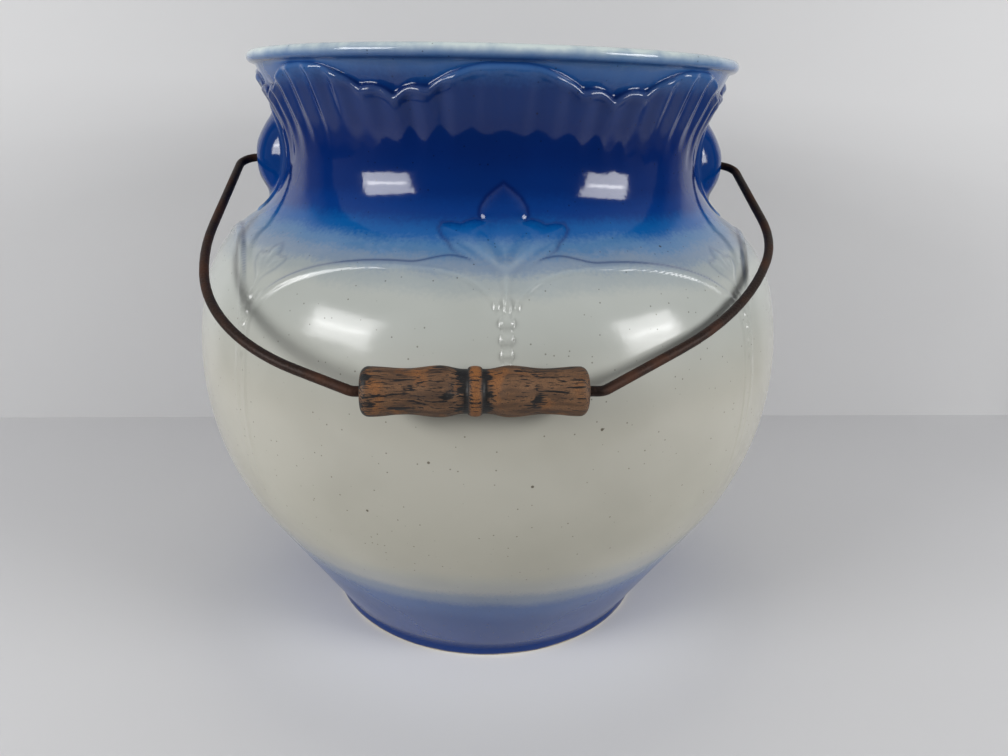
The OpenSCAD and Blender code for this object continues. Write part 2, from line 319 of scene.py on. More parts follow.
class Tree:
    """The node tree of a material or of the world."""

    def __init__(self, owner: bpy.types.Material | bpy.types.World) -> None:
        """Empties the owner's tree.

        Args:
            owner: Material or world whose nodes are made here.
        """
        owner.use_nodes = True
        self.nodes = owner.node_tree.nodes
        self.links = owner.node_tree.links
        self.nodes.clear()

    @staticmethod
    def _socket(sockets: Any, key: str | int) -> bpy.types.NodeSocket:
        """Finds a socket by its number, its identifier or its name."""
        if isinstance(key, int):
            return sockets[key]
        return next((s for s in sockets if s.identifier == key), None) or sockets[key]

    def node(
        self,
        kind: str,
        settings: Mapping[str, Any] | None = None,
        inputs: Mapping[str | int, Any] | None = None,
        output: str | int = 0,
    ) -> Value:
        """Adds a node.

        Args:
            kind: Type name of the node.
            settings: Properties of the node by name.
            inputs: Values, colours or other sockets by the input's name, identifier or number.
            output: Which output is given back.

        Returns:
            The chosen output.
        """
        made = self.nodes.new(kind)
        for name, setting in (settings or {}).items():
            setattr(made, name, setting)
        for key, given in (inputs or {}).items():
            socket = self._socket(made.inputs, key)
            if isinstance(given, Value):
                self.links.new(given.socket, socket)
            else:
                socket.default_value = given
        if not made.outputs:
            return Value(self, made.inputs[0])
        return Value(self, self._socket(made.outputs, output))

    def place(self, scale: Sequence[float] = (1.0, 1.0, 1.0)) -> Value:
        """Object coordinates in metres, stretched along the axes."""
        coordinates = self.node("ShaderNodeTexCoord", output="Object")
        return self.node("ShaderNodeVectorMath", {"operation": "MULTIPLY"}, {0: coordinates, 1: scale})

    def axis(self, name: str) -> Value:
        """One of the Object coordinates X, Y and Z, in millimetres."""
        split = self.node("ShaderNodeSeparateXYZ", {}, {0: self.place()}, name)
        return split * (1.0 / MM)

    def attribute(self, name: str) -> Value:
        """A point value of the mesh."""
        return self.node("ShaderNodeAttribute", {"attribute_name": name}, output="Fac")

    def noise(self, scale: float, detail: float = 2.0, place: Value | None = None) -> Value:
        """Soft noise about 0.5.

        Args:
            scale: Waves in a metre.
            detail: Octaves of finer noise.
            place: Coordinates to read, or none for the Object coordinates.

        Returns:
            The noise.
        """
        at = place or self.place()
        return self.node("ShaderNodeTexNoise", {}, {"Vector": at, "Scale": scale, "Detail": detail}, "Fac")

    def blend(self, share: Value | float, first: Any, second: Any, way: str = "MIX") -> Value:
        """Mixes two colours.

        Args:
            share: Share of the second colour.
            first: First colour, or a socket.
            second: Second colour, or a socket.
            way: Blend type.

        Returns:
            The mixed colour.
        """
        sides = [(*c, 1.0) if isinstance(c, tuple) and len(c) == 3 else c for c in (first, second)]
        inputs = {"Factor_Float": share, "A_Color": sides[0], "B_Color": sides[1]}
        return self.node("ShaderNodeMix", {"data_type": "RGBA", "blend_type": way}, inputs, "Result_Color")

    def ramp(self, value: Value, stops: Sequence[tuple[float, Colour]]) -> Value:
        """Looks a value up in a row of colours that ease into each other.

        Args:
            value: What is looked up.
            stops: Rising values and their colours.

        Returns:
            The colour.
        """
        low, high = stops[0][0], stops[-1][0]
        ends = {"From Min": low, "From Max": high, "To Min": 0.0, "To Max": 1.0}
        share = self.node("ShaderNodeMapRange", {}, {"Value": value, **ends})
        colour = self.node("ShaderNodeValToRGB", {}, {"Fac": share})
        ramp = colour.socket.node.color_ramp
        ramp.interpolation = "EASE"
        for _ in stops[2:]:
            ramp.elements.new(0.5)
        for element, (at, tint) in zip(ramp.elements, stops):
            element.position = (at - low) / (high - low)
            element.color = (*tint, 1.0)
        return colour

    def specks(self, scale: float, size: float, share: float) -> Value:
        """Small dots, one to a few cells.

        Args:
            scale: Cells in a metre.
            size: Radius of the largest dots, as a part of a cell.
            share: Share of the cells that have a dot.

        Returns:
            A mask that is 1 in the dots.
        """
        cell = {"Vector": self.place(), "Scale": scale, "Randomness": 1.0}
        away = self.node("ShaderNodeTexVoronoi", {}, cell, "Distance")
        tint = self.node("ShaderNodeTexVoronoi", {}, cell, "Color")
        draw = self.node("ShaderNodeSeparateColor", {}, {0: tint}, 0)
        chosen = draw.step(1.0 - share, 1.0 - share * 0.4)
        return (1.0 - (away / (chosen * size + 0.0001)).step(0.55, 1.0)) * chosen

    def bump(self, height: Value, distance: float, strength: float) -> Value:
        """A normal tilted by a height.

        Args:
            height: Height, about 0 to 1.
            distance: Metres that a height of 1 stands for.
            strength: Share of the tilt that is kept.

        Returns:
            The normal.
        """
        inputs = {"Height": height, "Distance": distance, "Strength": strength}
        return self.node("ShaderNodeBump", {}, inputs)

    def surface(self, fixed: Mapping[str, Any], varied: Mapping[str, Value]) -> None:
        """Ends the tree in a Principled shader.

        Args:
            fixed: Values that are the same all over, set on the shader's own sockets.
            varied: Sockets that change over the surface.
        """
        shader = self.node("ShaderNodeBsdfPrincipled", {}, {**fixed, **varied}, "BSDF")
        self.node("ShaderNodeOutputMaterial", {}, {"Surface": shader})


# Colours of the ears from their pivot up, a clearer blue than the neck beside them
EAR_STOPS = (
    (241.0, (0.001, 0.036, 0.188)),
    (256.0, (0.001, 0.034, 0.178)),
    (280.0, (0.001, 0.034, 0.178)),
)


@dataclass(frozen=True)
class Stoneware:
    """Glazed stoneware: cream with blue sprayed on from above and below, thin on edges and pooled in corners.

    Attributes:
        name: Name of the material.
        stops: Colours of the spray by height, in millimetres, with painted shade in the darkest band at the
            foot.
        inside: Colour of the glaze inside the jar.
        thin: Colour where the glaze runs thin over an edge.
        pooled: Tint of the glaze where it gathers, which multiplies the colour under it; it also paints shade
            under the rolled rim.
        cloud: Tint of faint clouds in it, which multiplies the colour under them.
        clay: Colour of the bare clay under the foot.
        speck: Tint of the iron specks, which multiplies the colour under them.
        gloss: Roughness of the glaze.
        dull: How much rougher it is on the belly.
        dull_to: Heights at which that starts and ends to fade.
        ior: Index of refraction of the glaze.
    """

    name: str
    stops: tuple[tuple[float, Colour], ...] = (
        # Painted shade: the darkest blue up to 6.5 mm stands partly for the contact shadow reflected in the
        # foot, partly for glaze pooled there.
        (0.0, (0.001, 0.026, 0.150)),
        (6.5, (0.001, 0.026, 0.150)),
        (13.0, (0.003, 0.040, 0.205)),
        (34.0, (0.005, 0.046, 0.205)),
        (50.0, (0.030, 0.092, 0.275)),
        (60.0, (0.190, 0.238, 0.325)),
        (69.0, (0.390, 0.398, 0.375)),
        (84.0, (0.480, 0.465, 0.390)),
        (150.0, (0.490, 0.478, 0.415)),
        (203.0, (0.490, 0.515, 0.485)),
        (210.0, (0.380, 0.425, 0.435)),
        (215.0, (0.220, 0.295, 0.400)),
        (220.0, (0.092, 0.220, 0.420)),
        (225.0, (0.002, 0.100, 0.355)),
        (232.0, (0.001, 0.037, 0.212)),
        (241.0, (0.001, 0.022, 0.148)),
        (256.0, (0.001, 0.017, 0.124)),
        (278.0, (0.001, 0.026, 0.150)),
        (288.0, (0.018, 0.098, 0.310)),
        (295.0, (0.045, 0.165, 0.390)),
    )
    inside: Colour = (0.560, 0.560, 0.520)
    thin: Colour = (0.650, 0.735, 0.725)
    pooled: Colour = (0.300, 0.360, 0.560)
    cloud: Colour = (0.420, 0.410, 0.360)
    clay: Colour = (0.460, 0.400, 0.310)
    speck: Colour = (0.220, 0.185, 0.150)
    gloss: float = 0.07
    dull: float = 0.075
    dull_to: Pair = (200.0, 228.0)
    ior: float = 1.39

    @classmethod
    def of_ears(cls) -> "Stoneware":
        """The glaze of the ears, a clearer blue from their pivot up."""
        lower = tuple(stop for stop in cls.stops if stop[0] < EAR_STOPS[0][0])
        return cls("ear_glaze", lower + EAR_STOPS)

    def make(self) -> bpy.types.Material:
        """Makes the material.

        Returns:
            The finished glaze.
        """
        material = bpy.data.materials.new(self.name)
        tree = Tree(material)
        height = tree.axis("Z")
        slow = tree.noise(11.0, 1.0) - 0.5
        middle = tree.noise(55.0, 2.0) - 0.5
        spray = tree.noise(620.0, 2.0) - 0.5
        tone = tree.ramp(height + slow * 9.0 + middle * 4.0 + spray * 3.5, self.stops)
        cloud = tree.noise(18.0, 3.0)
        tone = tree.blend(cloud.step(0.35, 0.75) * 0.16, tone, self.cloud, "MULTIPLY")
        tone = tree.blend(tree.attribute("inside"), tone, self.inside)
        flow = tree.noise(130.0, 3.0)
        thin = (tree.attribute("thin") * (0.30 + flow * 1.4)).clipped()
        tone = tree.blend(thin, tone, self.thin)
        tone = tree.blend(tree.attribute("pooled"), tone, self.pooled, "MULTIPLY")
        dots = tree.specks(75.0, 0.060, 0.45)
        fine = tree.specks(330.0, 0.150, 0.55)
        tone = tree.blend((dots * 0.9 + fine * 0.6).clipped(), tone, self.speck, "MULTIPLY")
        bare = 1.0 - (height + middle * 1.6).step(0.7, 1.5)
        tone = tree.blend(bare, tone, self.clay)
        ripple = tree.noise(30.0, 2.0) * 0.7 + tree.noise(140.0, 2.0) * 0.16 + tree.noise(520.0, 1.0) * 0.02
        rough = self.gloss + flow * 0.04 + bare * 0.7 + (1.0 - height.step(*self.dull_to)) * self.dull
        tree.surface(
            {"IOR": self.ior},
            {"Base Color": tone, "Roughness": rough, "Normal": tree.bump(ripple, 0.002, 0.22)},
        )
        return material


@dataclass(frozen=True)
class RustedIron:
    """Old iron wire: dark brown, dull, with paler rust.

    Attributes:
        dark: Colour of the worn wire.
        rust: Colour of the rust.
    """

    dark: Colour = (0.022, 0.012, 0.009)
    rust: Colour = (0.082, 0.034, 0.019)

    def make(self) -> bpy.types.Material:
        """Makes the material.

        Returns:
            The finished wire.
        """
        material = bpy.data.materials.new("rusted_iron")
        tree = Tree(material)
        patches = tree.noise(70.0, 4.0).step(0.42, 0.72)
        grit = tree.noise(900.0, 3.0)
        tone = tree.blend((patches * 0.7 + grit.step(0.5, 0.8) * 0.3).clipped(), self.dark, self.rust)
        rough = 0.42 + patches * 0.2 + grit * 0.12
        tree.surface(
            {"Metallic": 0.35, "Specular IOR Level": 0.22},
            {"Base Color": tone, "Roughness": rough, "Normal": tree.bump(grit, 0.0006, 0.5)},
        )
        return material


@dataclass(frozen=True)
class WornWood:
    """Turned hardwood with the last of its black paint in the grain and the grooves.

    Attributes:
        pale: Colour of the worn wood.
        deep: Colour of the wood between.
        warm: Colour of the wood where hands have rubbed it bare.
        paint: Colour of the paint that is left.
    """

    pale: Colour = (0.200, 0.102, 0.048)
    deep: Colour = (0.078, 0.042, 0.024)
    warm: Colour = (0.310, 0.118, 0.030)
    paint: Colour = (0.009, 0.008, 0.008)

    def make(self) -> bpy.types.Material:
        """Makes the material.

        Returns:
            The finished wood.
        """
        material = bpy.data.materials.new("worn_wood")
        tree = Tree(material)
        along = tree.place((0.16, 1.0, 1.0))
        grain = tree.noise(420.0, 4.0, along)
        streak = tree.noise(1500.0, 2.0, tree.place((0.09, 1.0, 1.0)))
        tone = tree.blend(grain.step(0.30, 0.70), self.deep, self.pale)
        rubbed = tree.noise(95.0, 2.0).step(0.52, 0.68) * 0.7 + tree.attribute("rubbed")
        tone = tree.blend(rubbed.clipped(), tone, self.warm)
        tone = tree.blend(tree.noise(2600.0, 1.0).step(0.35, 0.7) * 0.5, tone, self.deep)
        left = tree.noise(34.0, 3.0) - 0.5 + tree.attribute("paint")
        flecks = (streak + left * 0.7).step(0.545, 0.60)
        cracks = (tree.noise(2400.0, 1.0, tree.place((0.15, 1.0, 1.0))) + left * 0.35).step(0.60, 0.66)
        patch = (tree.noise(210.0, 4.0, tree.place((0.4, 1.0, 1.0))) + left * 1.1).step(0.575, 0.64)
        groove = tree.attribute("groove")
        painted = (flecks + patch + groove + cracks * 0.85).clipped()
        tone = tree.blend(painted, tone, self.paint)
        height = grain * 0.4 + streak * 0.4 + painted * 0.25 - cracks * 0.5
        tree.surface(
            {"Specular IOR Level": 0.4},
            {
                "Base Color": tone,
                "Roughness": 0.62 - painted * 0.14 + streak * 0.1,
                "Normal": tree.bump(height, 0.0008, 0.45),
            },
        )
        return material


@dataclass(frozen=True)
class Arc:
    """A round stretch of an outline.

    Attributes:
        centre: Radius and height of its centre.
        radius: Its own radius.
        start: Angle at which it starts.
        end: Angle at which it ends.
        hollow: Whether the clay lies outside the circle.
    """

    centre: tuple[float, float]
    radius: float
    start: float
    end: float
    hollow: bool = False

    @property
    def length(self) -> float:
        """Length along the arc."""
        return math.radians(abs(self.end - self.start)) * self.radius

    def at(self, along: Array) -> Array:
        """Places and outward directions: centre + radius · (cos, sin), turned inwards where it is hollow.

        Args:
            along: Lengths from the start.

        Returns:
            Radius, height and the two parts of the outward direction, on a new first axis.
        """
        angle = np.radians(self.start + (self.end - self.start) * along / self.length)
        ray = np.stack([np.cos(angle), np.sin(angle)])
        centre = np.reshape(self.centre, (2, *([1] * angle.ndim)))
        return np.concatenate([centre + self.radius * ray, -ray if self.hollow else ray])


@dataclass(frozen=True)
class Straight:
    """A straight stretch of an outline.

    Attributes:
        start: Radius and height at which it starts.
        end: Radius and height at which it ends.
    """

    start: tuple[float, float]
    end: tuple[float, float]

    @property
    def length(self) -> float:
        """Length of the stretch."""
        return math.dist(self.start, self.end)

    def at(self, along: Array) -> Array:
        """Places and outward directions: start + along · direction, and the direction turned right.

        Args:
            along: Lengths from the start.

        Returns:
            Radius, height and the two parts of the outward direction, on a new first axis.
        """
        over = (self.end[0] - self.start[0]) / self.length
        up = (self.end[1] - self.start[1]) / self.length
        flat = np.zeros_like(along)
        return np.stack([self.start[0] + over * along, self.start[1] + up * along, flat + up, flat - over])


class Outline:
    """A row of straight and round stretches, walked by the length from its start."""

    def __init__(self, stretches: Sequence[Arc | Straight]) -> None:
        """Joins the stretches.

        Args:
            stretches: Stretches that meet end to end.
        """
        self.stretches = tuple(stretches)
        self.starts = np.concatenate([[0.0], np.cumsum([s.length for s in stretches])])
        self._walk = np.linspace(0.0, self.starts[-1], 6000)
        self._rise = self.at(self._walk)

    def at(self, along: Array) -> Array:
        """Looks up each length in the stretch that it falls in.

        Args:
            along: Lengths from the start.

        Returns:
            Radius, height and the two parts of the outward direction, on a new first axis.
        """
        which = np.clip(np.searchsorted(self.starts, along, side="right") - 1, 0, len(self.stretches) - 1)
        every = np.stack([s.at(along - start) for s, start in zip(self.stretches, self.starts)])
        return np.take_along_axis(every, which[None, None], axis=0)[0]

    def along(self, height: Array | float) -> Array:
        """Length at which the outline passes a height."""
        return np.interp(height, self._rise[1], self._walk)

    def radius(self, height: Array | float) -> Array:
        """Radius of the outline at a height."""
        return np.interp(height, self._rise[1], self._rise[0])


@dataclass(frozen=True)
class JarForm:
    """Sizes of the jar's wall, as in its solids.

    Attributes:
        foot_r: Radius of the foot.
        foot_h: Height of the upright band of the foot.
        foot_bevel: Bevel under that band.
        belly_r: Widest radius.
        belly_z: Height of the widest part.
        belly_curve: Radius of the belly's upright curve.
        shoulder_from: Angle at which the belly turns into the shoulder.
        shoulder_curve: Radius of the shoulder's curve.
        neck_r: Radius of the neck's waist.
        neck_curve: Radius of the neck's hollow curve.
        flare: Lean of the collar.
        collar_h: Height from the waist to the top of the rim.
        rim_roll_r: Radius of the rolled edge.
        rim_out: How far the roll stands out from the band under it.
        wall: Thickness of the wall.
        floor_t: Thickness of the floor.
        petals: Number of petals.
        petal_flutes: Flutes on a petal.
        petal_proud: How far the petals stand out from the band.
        band_gap: Height of the bare band above a petal.
        notch_drop: Height from the top of a petal down to a notch.
        lobe_w: Width of the level crown of a petal.
        lobe_r: Radius of the arch on each side of that crown.
        side_drop: Drop to the top of the side lobe.
        side_at: Distance from a notch to the top of the side lobe.
        ear_drop: Height of the pivot below the waist.
    """

    foot_r: float = 92.0
    foot_h: float = 5.0
    foot_bevel: float = 1.2
    belly_r: float = 153.9
    belly_z: float = 146.5
    belly_curve: float = 145.0
    shoulder_from: float = 16.0
    shoulder_curve: float = 55.5
    neck_r: float = 105.3
    neck_curve: float = 36.5
    flare: float = 24.5
    collar_h: float = 44.2
    rim_roll_r: float = 2.7
    rim_out: float = 3.4
    wall: float = 8.0
    floor_t: float = 10.0
    petals: int = 8
    petal_flutes: int = 7
    petal_proud: float = 2.2
    band_gap: float = 1.9
    notch_drop: float = 11.7
    lobe_w: float = 14.0
    lobe_r: float = 55.0
    side_drop: float = 8.0
    side_at: float = 10.7
    ear_drop: float = 5.6

    @property
    def belly_c(self) -> tuple[float, float]:
        """Centre of the belly's curve."""
        return self.belly_r - self.belly_curve, self.belly_z

    @property
    def shoulder_c(self) -> tuple[float, float]:
        """Centre of the shoulder's curve."""
        reach, angle = self.belly_curve - self.shoulder_curve, math.radians(self.shoulder_from)
        return self.belly_c[0] + reach * math.cos(angle), self.belly_c[1] + reach * math.sin(angle)

    @property
    def neck_c(self) -> tuple[float, float]:
        """Centre of the neck's hollow curve, level with the waist."""
        out = self.neck_r + self.neck_curve
        rise = math.sqrt((self.shoulder_curve + self.neck_curve) ** 2 - (out - self.shoulder_c[0]) ** 2)
        return out, self.shoulder_c[1] + rise

    @property
    def shoulder_to(self) -> float:
        """Angle at which the shoulder turns into the neck."""
        over, up = self.neck_c[0] - self.shoulder_c[0], self.neck_c[1] - self.shoulder_c[1]
        return math.degrees(math.atan2(up, over))

    @property
    def belly_from(self) -> float:
        """Angle at which the straight lower wall meets the belly's curve."""
        over, up = self.foot_r - self.belly_c[0], self.foot_h - self.belly_c[1]
        return math.degrees(math.atan2(up, over) + math.acos(self.belly_curve / math.hypot(over, up)))

    @property
    def top(self) -> float:
        """Height of the top of the rim."""
        return self.neck_c[1] + self.collar_h

    @property
    def band_top(self) -> float:
        """Height of the top of the band under the roll."""
        return self.top - 2.0 * self.rim_roll_r

    @property
    def petal_top(self) -> float:
        """Height of the top of a petal."""
        return self.band_top - self.band_gap

    @property
    def pivot_z(self) -> float:
        """Height of the bail's pivot."""
        return self.neck_c[1] - self.ear_drop

    def collar_r(self, height: float, inset: float = 0.0) -> float:
        """Radius of the leaning collar at a height, moved inwards."""
        lean = math.radians(self.flare)
        foot = self.neck_c[0] - (self.neck_curve + inset) / math.cos(lean)
        return foot + (height - self.neck_c[1]) * math.tan(lean)

    def outline(self, inset: float, low: float, high: float) -> Outline:
        """Outline of the wall from a height on its straight lower part up to one on its collar.

        Args:
            inset: How far it lies inside the wall's outer face.
            low: Height of its start.
            high: Height of its end.

        Returns:
            The outline, walked upwards.
        """
        belly = Arc(self.belly_c, self.belly_curve - inset, self.belly_from, self.shoulder_from)
        shoulder = Arc(self.shoulder_c, self.shoulder_curve - inset, self.shoulder_from, self.shoulder_to)
        neck_ends = 180.0 + self.shoulder_to, 180.0 - self.flare
        neck = Arc(self.neck_c, self.neck_curve + inset, *neck_ends, hollow=True)
        first, last = belly.at(np.zeros(1)), neck.at(np.full(1, neck.length))
        at_belly = float(first[0, 0]), float(first[1, 0])
        at_neck = float(last[0, 0]), float(last[1, 0])
        slope = math.tan(math.radians(self.belly_from))
        foot = at_belly[0] + (at_belly[1] - low) * slope, low
        rim = self.collar_r(high, inset), high
        return Outline([Straight(foot, at_belly), belly, shoulder, neck, Straight(at_neck, rim)])

    def petal_edge(self, angle: Array) -> Array:
        """Height of the scalloped edge, face on to the nearest notch.

        It is the higher of the notch, a round lobe beside it and the arch of a petal, and never above
        that petal's level crown.

        Args:
            angle: Angles round the jar, in radians.

        Returns:
            Heights of the edge.
        """
        reach = self.collar_r(self.petal_top)
        sector = 2.0 * math.pi / self.petals
        across = np.abs(reach * np.sin(nearest(angle - sector / 2, sector)))
        notch = self.petal_top - self.notch_drop
        sag = self.notch_drop - self.side_drop
        side_r = (self.side_at**2 + sag**2) / (2.0 * sag)
        side = np.square(side_r) - np.square(across - self.side_at)
        side = notch + sag - side_r + np.sqrt(np.maximum(side, 0.0))
        arch_z = self.petal_top - math.sqrt(self.lobe_r**2 - (self.lobe_w / 2) ** 2)
        from_crown = reach * math.sin(sector / 2) - across
        arch = arch_z + np.sqrt(np.square(self.lobe_r) - np.square(from_crown))
        return np.minimum(self.petal_top, np.maximum(np.maximum(notch, side), arch))


@dataclass(frozen=True)
class Leaf:
    """The moulded leaf: half an outline, mirrored, with furrows between its lobes.

    Attributes:
        outline: Across and up of the half outline, from the tip down to the stem.
        furrows: Ends of the furrows that part the lobes.
        crown: Height of the lobes.
        slope: Width over which a lobe rises from its edge.
        furrow_floor: Distance from an edge that the bottom of a furrow counts as.
        furrow_wide: How slowly a lobe rises from a furrow.
    """

    outline: tuple[tuple[float, float], ...] = (
        (0.0, 31.2),
        (3.2, 28.8),
        (6.8, 25.6),
        (9.2, 21.6),
        (9.6, 18.4),
        (8.4, 15.8),
        (11.5, 16.4),
        (14.6, 15.4),
        (17.2, 13.8),
        (20.6, 14.6),
        (24.6, 14.2),
        (25.9, 12.0),
        (24.6, 8.6),
        (22.0, 5.6),
        (20.6, 2.0),
        (15.5, -2.6),
        (8.0, -9.0),
        (3.0, -15.0),
        (1.8, -23.0),
        (0.0, -24.0),
    )
    furrows: tuple[tuple[tuple[float, float], tuple[float, float]], ...] = (
        ((1.5, -4.0), (8.6, 15.6)),
        ((2.6, -12.0), (20.0, 6.0)),
    )
    crown: float = 1.9
    slope: float = 2.4
    furrow_floor: float = 2.0
    furrow_wide: float = 5.0

    @staticmethod
    def to_line(across: Array, up: Array, start: Sequence[float], end: Sequence[float]) -> Array:
        """Distance from a straight line between two ends.

        Args:
            across: Places across the leaf.
            up: Places up the wall.
            start: One end.
            end: The other end.

        Returns:
            The distances.
        """
        over, rise = end[0] - start[0], end[1] - start[1]
        share = ((across - start[0]) * over + (up - start[1]) * rise) / (over**2 + rise**2)
        share = np.clip(share, 0.0, 1.0)
        return np.hypot(across - start[0] - share * over, up - start[1] - share * rise)

    @staticmethod
    def crosses(across: Array, up: Array, start: Sequence[float], end: Sequence[float]) -> Array:
        """Whether a level line outwards from a place crosses the straight line between two ends.

        Args:
            across: Places across the leaf.
            up: Places up the wall.
            start: One end.
            end: The other end.

        Returns:
            True where it crosses.
        """
        at = start[0] + (up - start[1]) * (end[0] - start[0]) / (end[1] - start[1] + TINY)
        return ((start[1] > up) != (end[1] > up)) & (across < at)

    def depth(self, across: Array, up: Array) -> tuple[Array, Array]:
        """How far inside the outline a place lies, and how far from the nearest furrow.

        A place is inside where a level line from it towards the edge crosses the half outline an odd
        number of times.

        Args:
            across: Places across the leaf.
            up: Places up the wall.

        Returns:
            Depth, less than 0 outside, and distance from a furrow.
        """
        side = np.abs(across)
        pairs = list(zip(self.outline, self.outline[1:]))
        edge = np.stack([self.to_line(side, up, a, b) for a, b in pairs]).min(axis=0)
        crossed = np.stack([self.crosses(side, up, a, b) for a, b in pairs])
        inside = crossed.sum(axis=0) % 2 == 1
        furrow = np.stack([self.to_line(side, up, a, b) for a, b in self.furrows]).min(axis=0)
        return np.where(inside, edge, -edge), furrow

    def height(self, depth: Array, furrow: Array) -> Array:
        """Height of the lobes: crown · (1 - exp(-distance / slope)) from the nearest edge or furrow."""
        beside = self.furrow_floor + np.square(furrow) / self.furrow_wide
        inner = np.minimum(np.maximum(depth, 0.0), beside)
        return self.crown * (1.0 - np.exp(-inner / self.slope))


@dataclass(frozen=True)
class Ornament:
    """The moulded relief of the shoulder: two leaves, beaded columns, and arches that climb to the leaves.

    Attributes:
        leaf: The leaf over the front and the back column.
        small_leaf: Size of the leaf on a side column, as a part of the large one.
        small_leaf_foot: Where up the wall the stem of that small leaf ends.
        small_leaf_crown: Height of it, as a part of the large one's.
        column_at: Angle of the side columns from the front or the back.
        drops: Across, up, half width, half height and crown of the drops under a leaf.
        beads: Up and diameter of the beads under the drops.
        bead_shape: Half width, half height and crown of a bead, as parts of its diameter.
        side_bead_drop: How much lower the beads of a side column lie.
        arch_from: Start of an arch beside the leaf, as a part of the angle to the side column.
        arch_peak: Its highest place.
        arch_to: Its end beside the side column.
        arch_foot: Where up the wall the round top of an arch starts.
        arch_rise: Height of that top.
        leaf_power: Power of its superellipse on the side of the leaf.
        column_power: Power of it on the side of the column.
        band: Width of the moulding round an arch.
        scroll: How much wider the moulding is where it meets the leaf.
        scroll_to: Where that starts and ends to narrow, as parts of the angle to the side column.
        gap: Where the moulding starts beside the beads, as parts of that angle.
        gap_up: Where up the wall it closes over them.
        full_up: Where up the wall the ribs turn into the moulding.
        crown: Height of the moulding.
        rib_crown: Height of the ribs that run down from it.
        rib_end: Height at which those ribs have run out.
        rib_fade: Height over which they run out.
        line_w: Width of a line of pooled glaze.
        line_drop: How much lower that line starts on a small leaf, times the part by which it is smaller.
    """

    leaf: Leaf = Leaf()
    small_leaf: float = 0.40
    small_leaf_foot: float = -28.0
    small_leaf_crown: float = 0.45
    column_at: float = 46.8
    drops: tuple[tuple[float, float, float, float, float], ...] = (
        (-3.9, -24.2, 1.3, 2.6, 0.7),
        (0.3, -24.6, 1.6, 3.0, 1.0),
        (4.1, -24.6, 1.2, 2.2, 0.6),
    )
    beads: tuple[tuple[float, float], ...] = (
        (-31.0, 6.2),
        (-37.4, 5.5),
        (-43.2, 5.0),
        (-48.6, 4.8),
        (-53.2, 4.2),
    )
    bead_shape: tuple[float, float, float] = (0.5, 0.46, 0.24)
    side_bead_drop: float = 8.0
    arch_from: float = 0.02
    arch_peak: float = 0.38
    arch_to: float = 0.96
    arch_foot: float = -47.0
    arch_rise: float = 36.0
    leaf_power: float = 3.0
    column_power: float = 2.0
    band: float = 4.3
    scroll: float = 5.4
    scroll_to: Pair = (0.19, 0.36)
    gap: Pair = (0.06, 0.17)
    gap_up: Pair = (-27.0, -15.0)
    full_up: Pair = (-64.0, -36.0)
    crown: float = 1.0
    rib_crown: float = 0.45
    rib_end: float = 92.0
    rib_fade: float = 60.0
    line_w: float = 0.85
    line_drop: float = 30.0

    def beading(self, across: Array, up: Array) -> Array:
        """Height of the drops and the beads: round domes, crown · sqrt(1 - (distance / reach)²).

        Args:
            across: Places across the column.
            up: Places up the wall.

        Returns:
            Heights of the domes.
        """
        wide, tall, crown = self.bead_shape
        domes = [*self.drops, *((0.0, at, wide * d, tall * d, crown * d) for at, d in self.beads)]
        sizes = np.reshape(domes, (len(domes), 5, *([1] * across.ndim)))
        reach = np.square((across - sizes[:, 0]) / sizes[:, 2]) + np.square((up - sizes[:, 1]) / sizes[:, 3])
        return (sizes[:, 4] * np.sqrt(np.clip(1.0 - reach, 0.0, 1.0))).max(axis=0)

    def arch(self, share: Array, up: Array, radius: Array) -> tuple[Array, Array]:
        """Distance outside an arch's inner edge, and how far that edge belongs to the round top.

        The edge is a superellipse about the foot of the arch's highest place, squarer on the side of
        the leaf than on the side of the column. Below the foot it runs straight down.

        Args:
            share: Place between the leaf's axis, 0, and the side column, 1.
            up: Places up the wall.
            radius: Radius of the wall there.

        Returns:
            Distances and the share of the round top.
        """
        leafward = share < self.arch_peak
        reach = np.where(leafward, self.arch_peak - self.arch_from, self.arch_to - self.arch_peak)
        power = np.where(leafward, self.leaf_power, self.column_power)
        side = (np.abs(share - self.arch_peak) / reach) ** power
        rise = (np.maximum(up - self.arch_foot, 0.0) / self.arch_rise) ** power
        round_share = rise / np.maximum(rise + side, TINY)
        width = reach * math.radians(self.column_at) * radius
        scale = width + (self.arch_rise - width) * round_share
        return ((side + rise) ** (1.0 / power) - 1.0) * scale, round_share

    def relief(self, angle: Array, up: Array, radius: Array, height: Array) -> tuple[Array, Array, Array]:
        """Height of all the relief, and where the glaze runs thin or pools on it.

        Args:
            angle: Angles round the jar, in radians.
            up: Places up the wall from where the shoulder meets the neck.
            radius: Radius of the wall there.
            height: Height there.

        Returns:
            Heights of the relief, thinness of the glaze and pooling of the glaze.
        """
        column, quarter = math.radians(self.column_at), math.pi / 2
        from_leaf, from_ear = nearest(angle, math.pi), nearest(angle - quarter, math.pi)
        turn = np.abs(from_leaf)
        share = np.where(turn < column, turn / column, (quarter - turn) / (quarter - column))
        on_leaf, on_side = turn < column / 2, np.abs(turn - column) < column / 2
        across = np.where(on_leaf, from_leaf, np.where(on_side, turn - column, from_ear)) * radius

        size = np.where(on_side, self.small_leaf, 1.0)
        stem = -self.leaf.outline[-1][1]
        foot = np.where(on_side, self.small_leaf_foot + stem * self.small_leaf, 0.0)
        depth, furrow = self.leaf.depth(across / size, (up - foot) / size)
        bare = ~(on_leaf | on_side)
        depth, furrow = np.where(bare, -50.0, depth * size), furrow * size
        leaf = self.leaf.height(depth, furrow) * np.where(on_side, self.small_leaf_crown, 1.0)
        beads = self.beading(across, up + self.side_bead_drop * on_side)

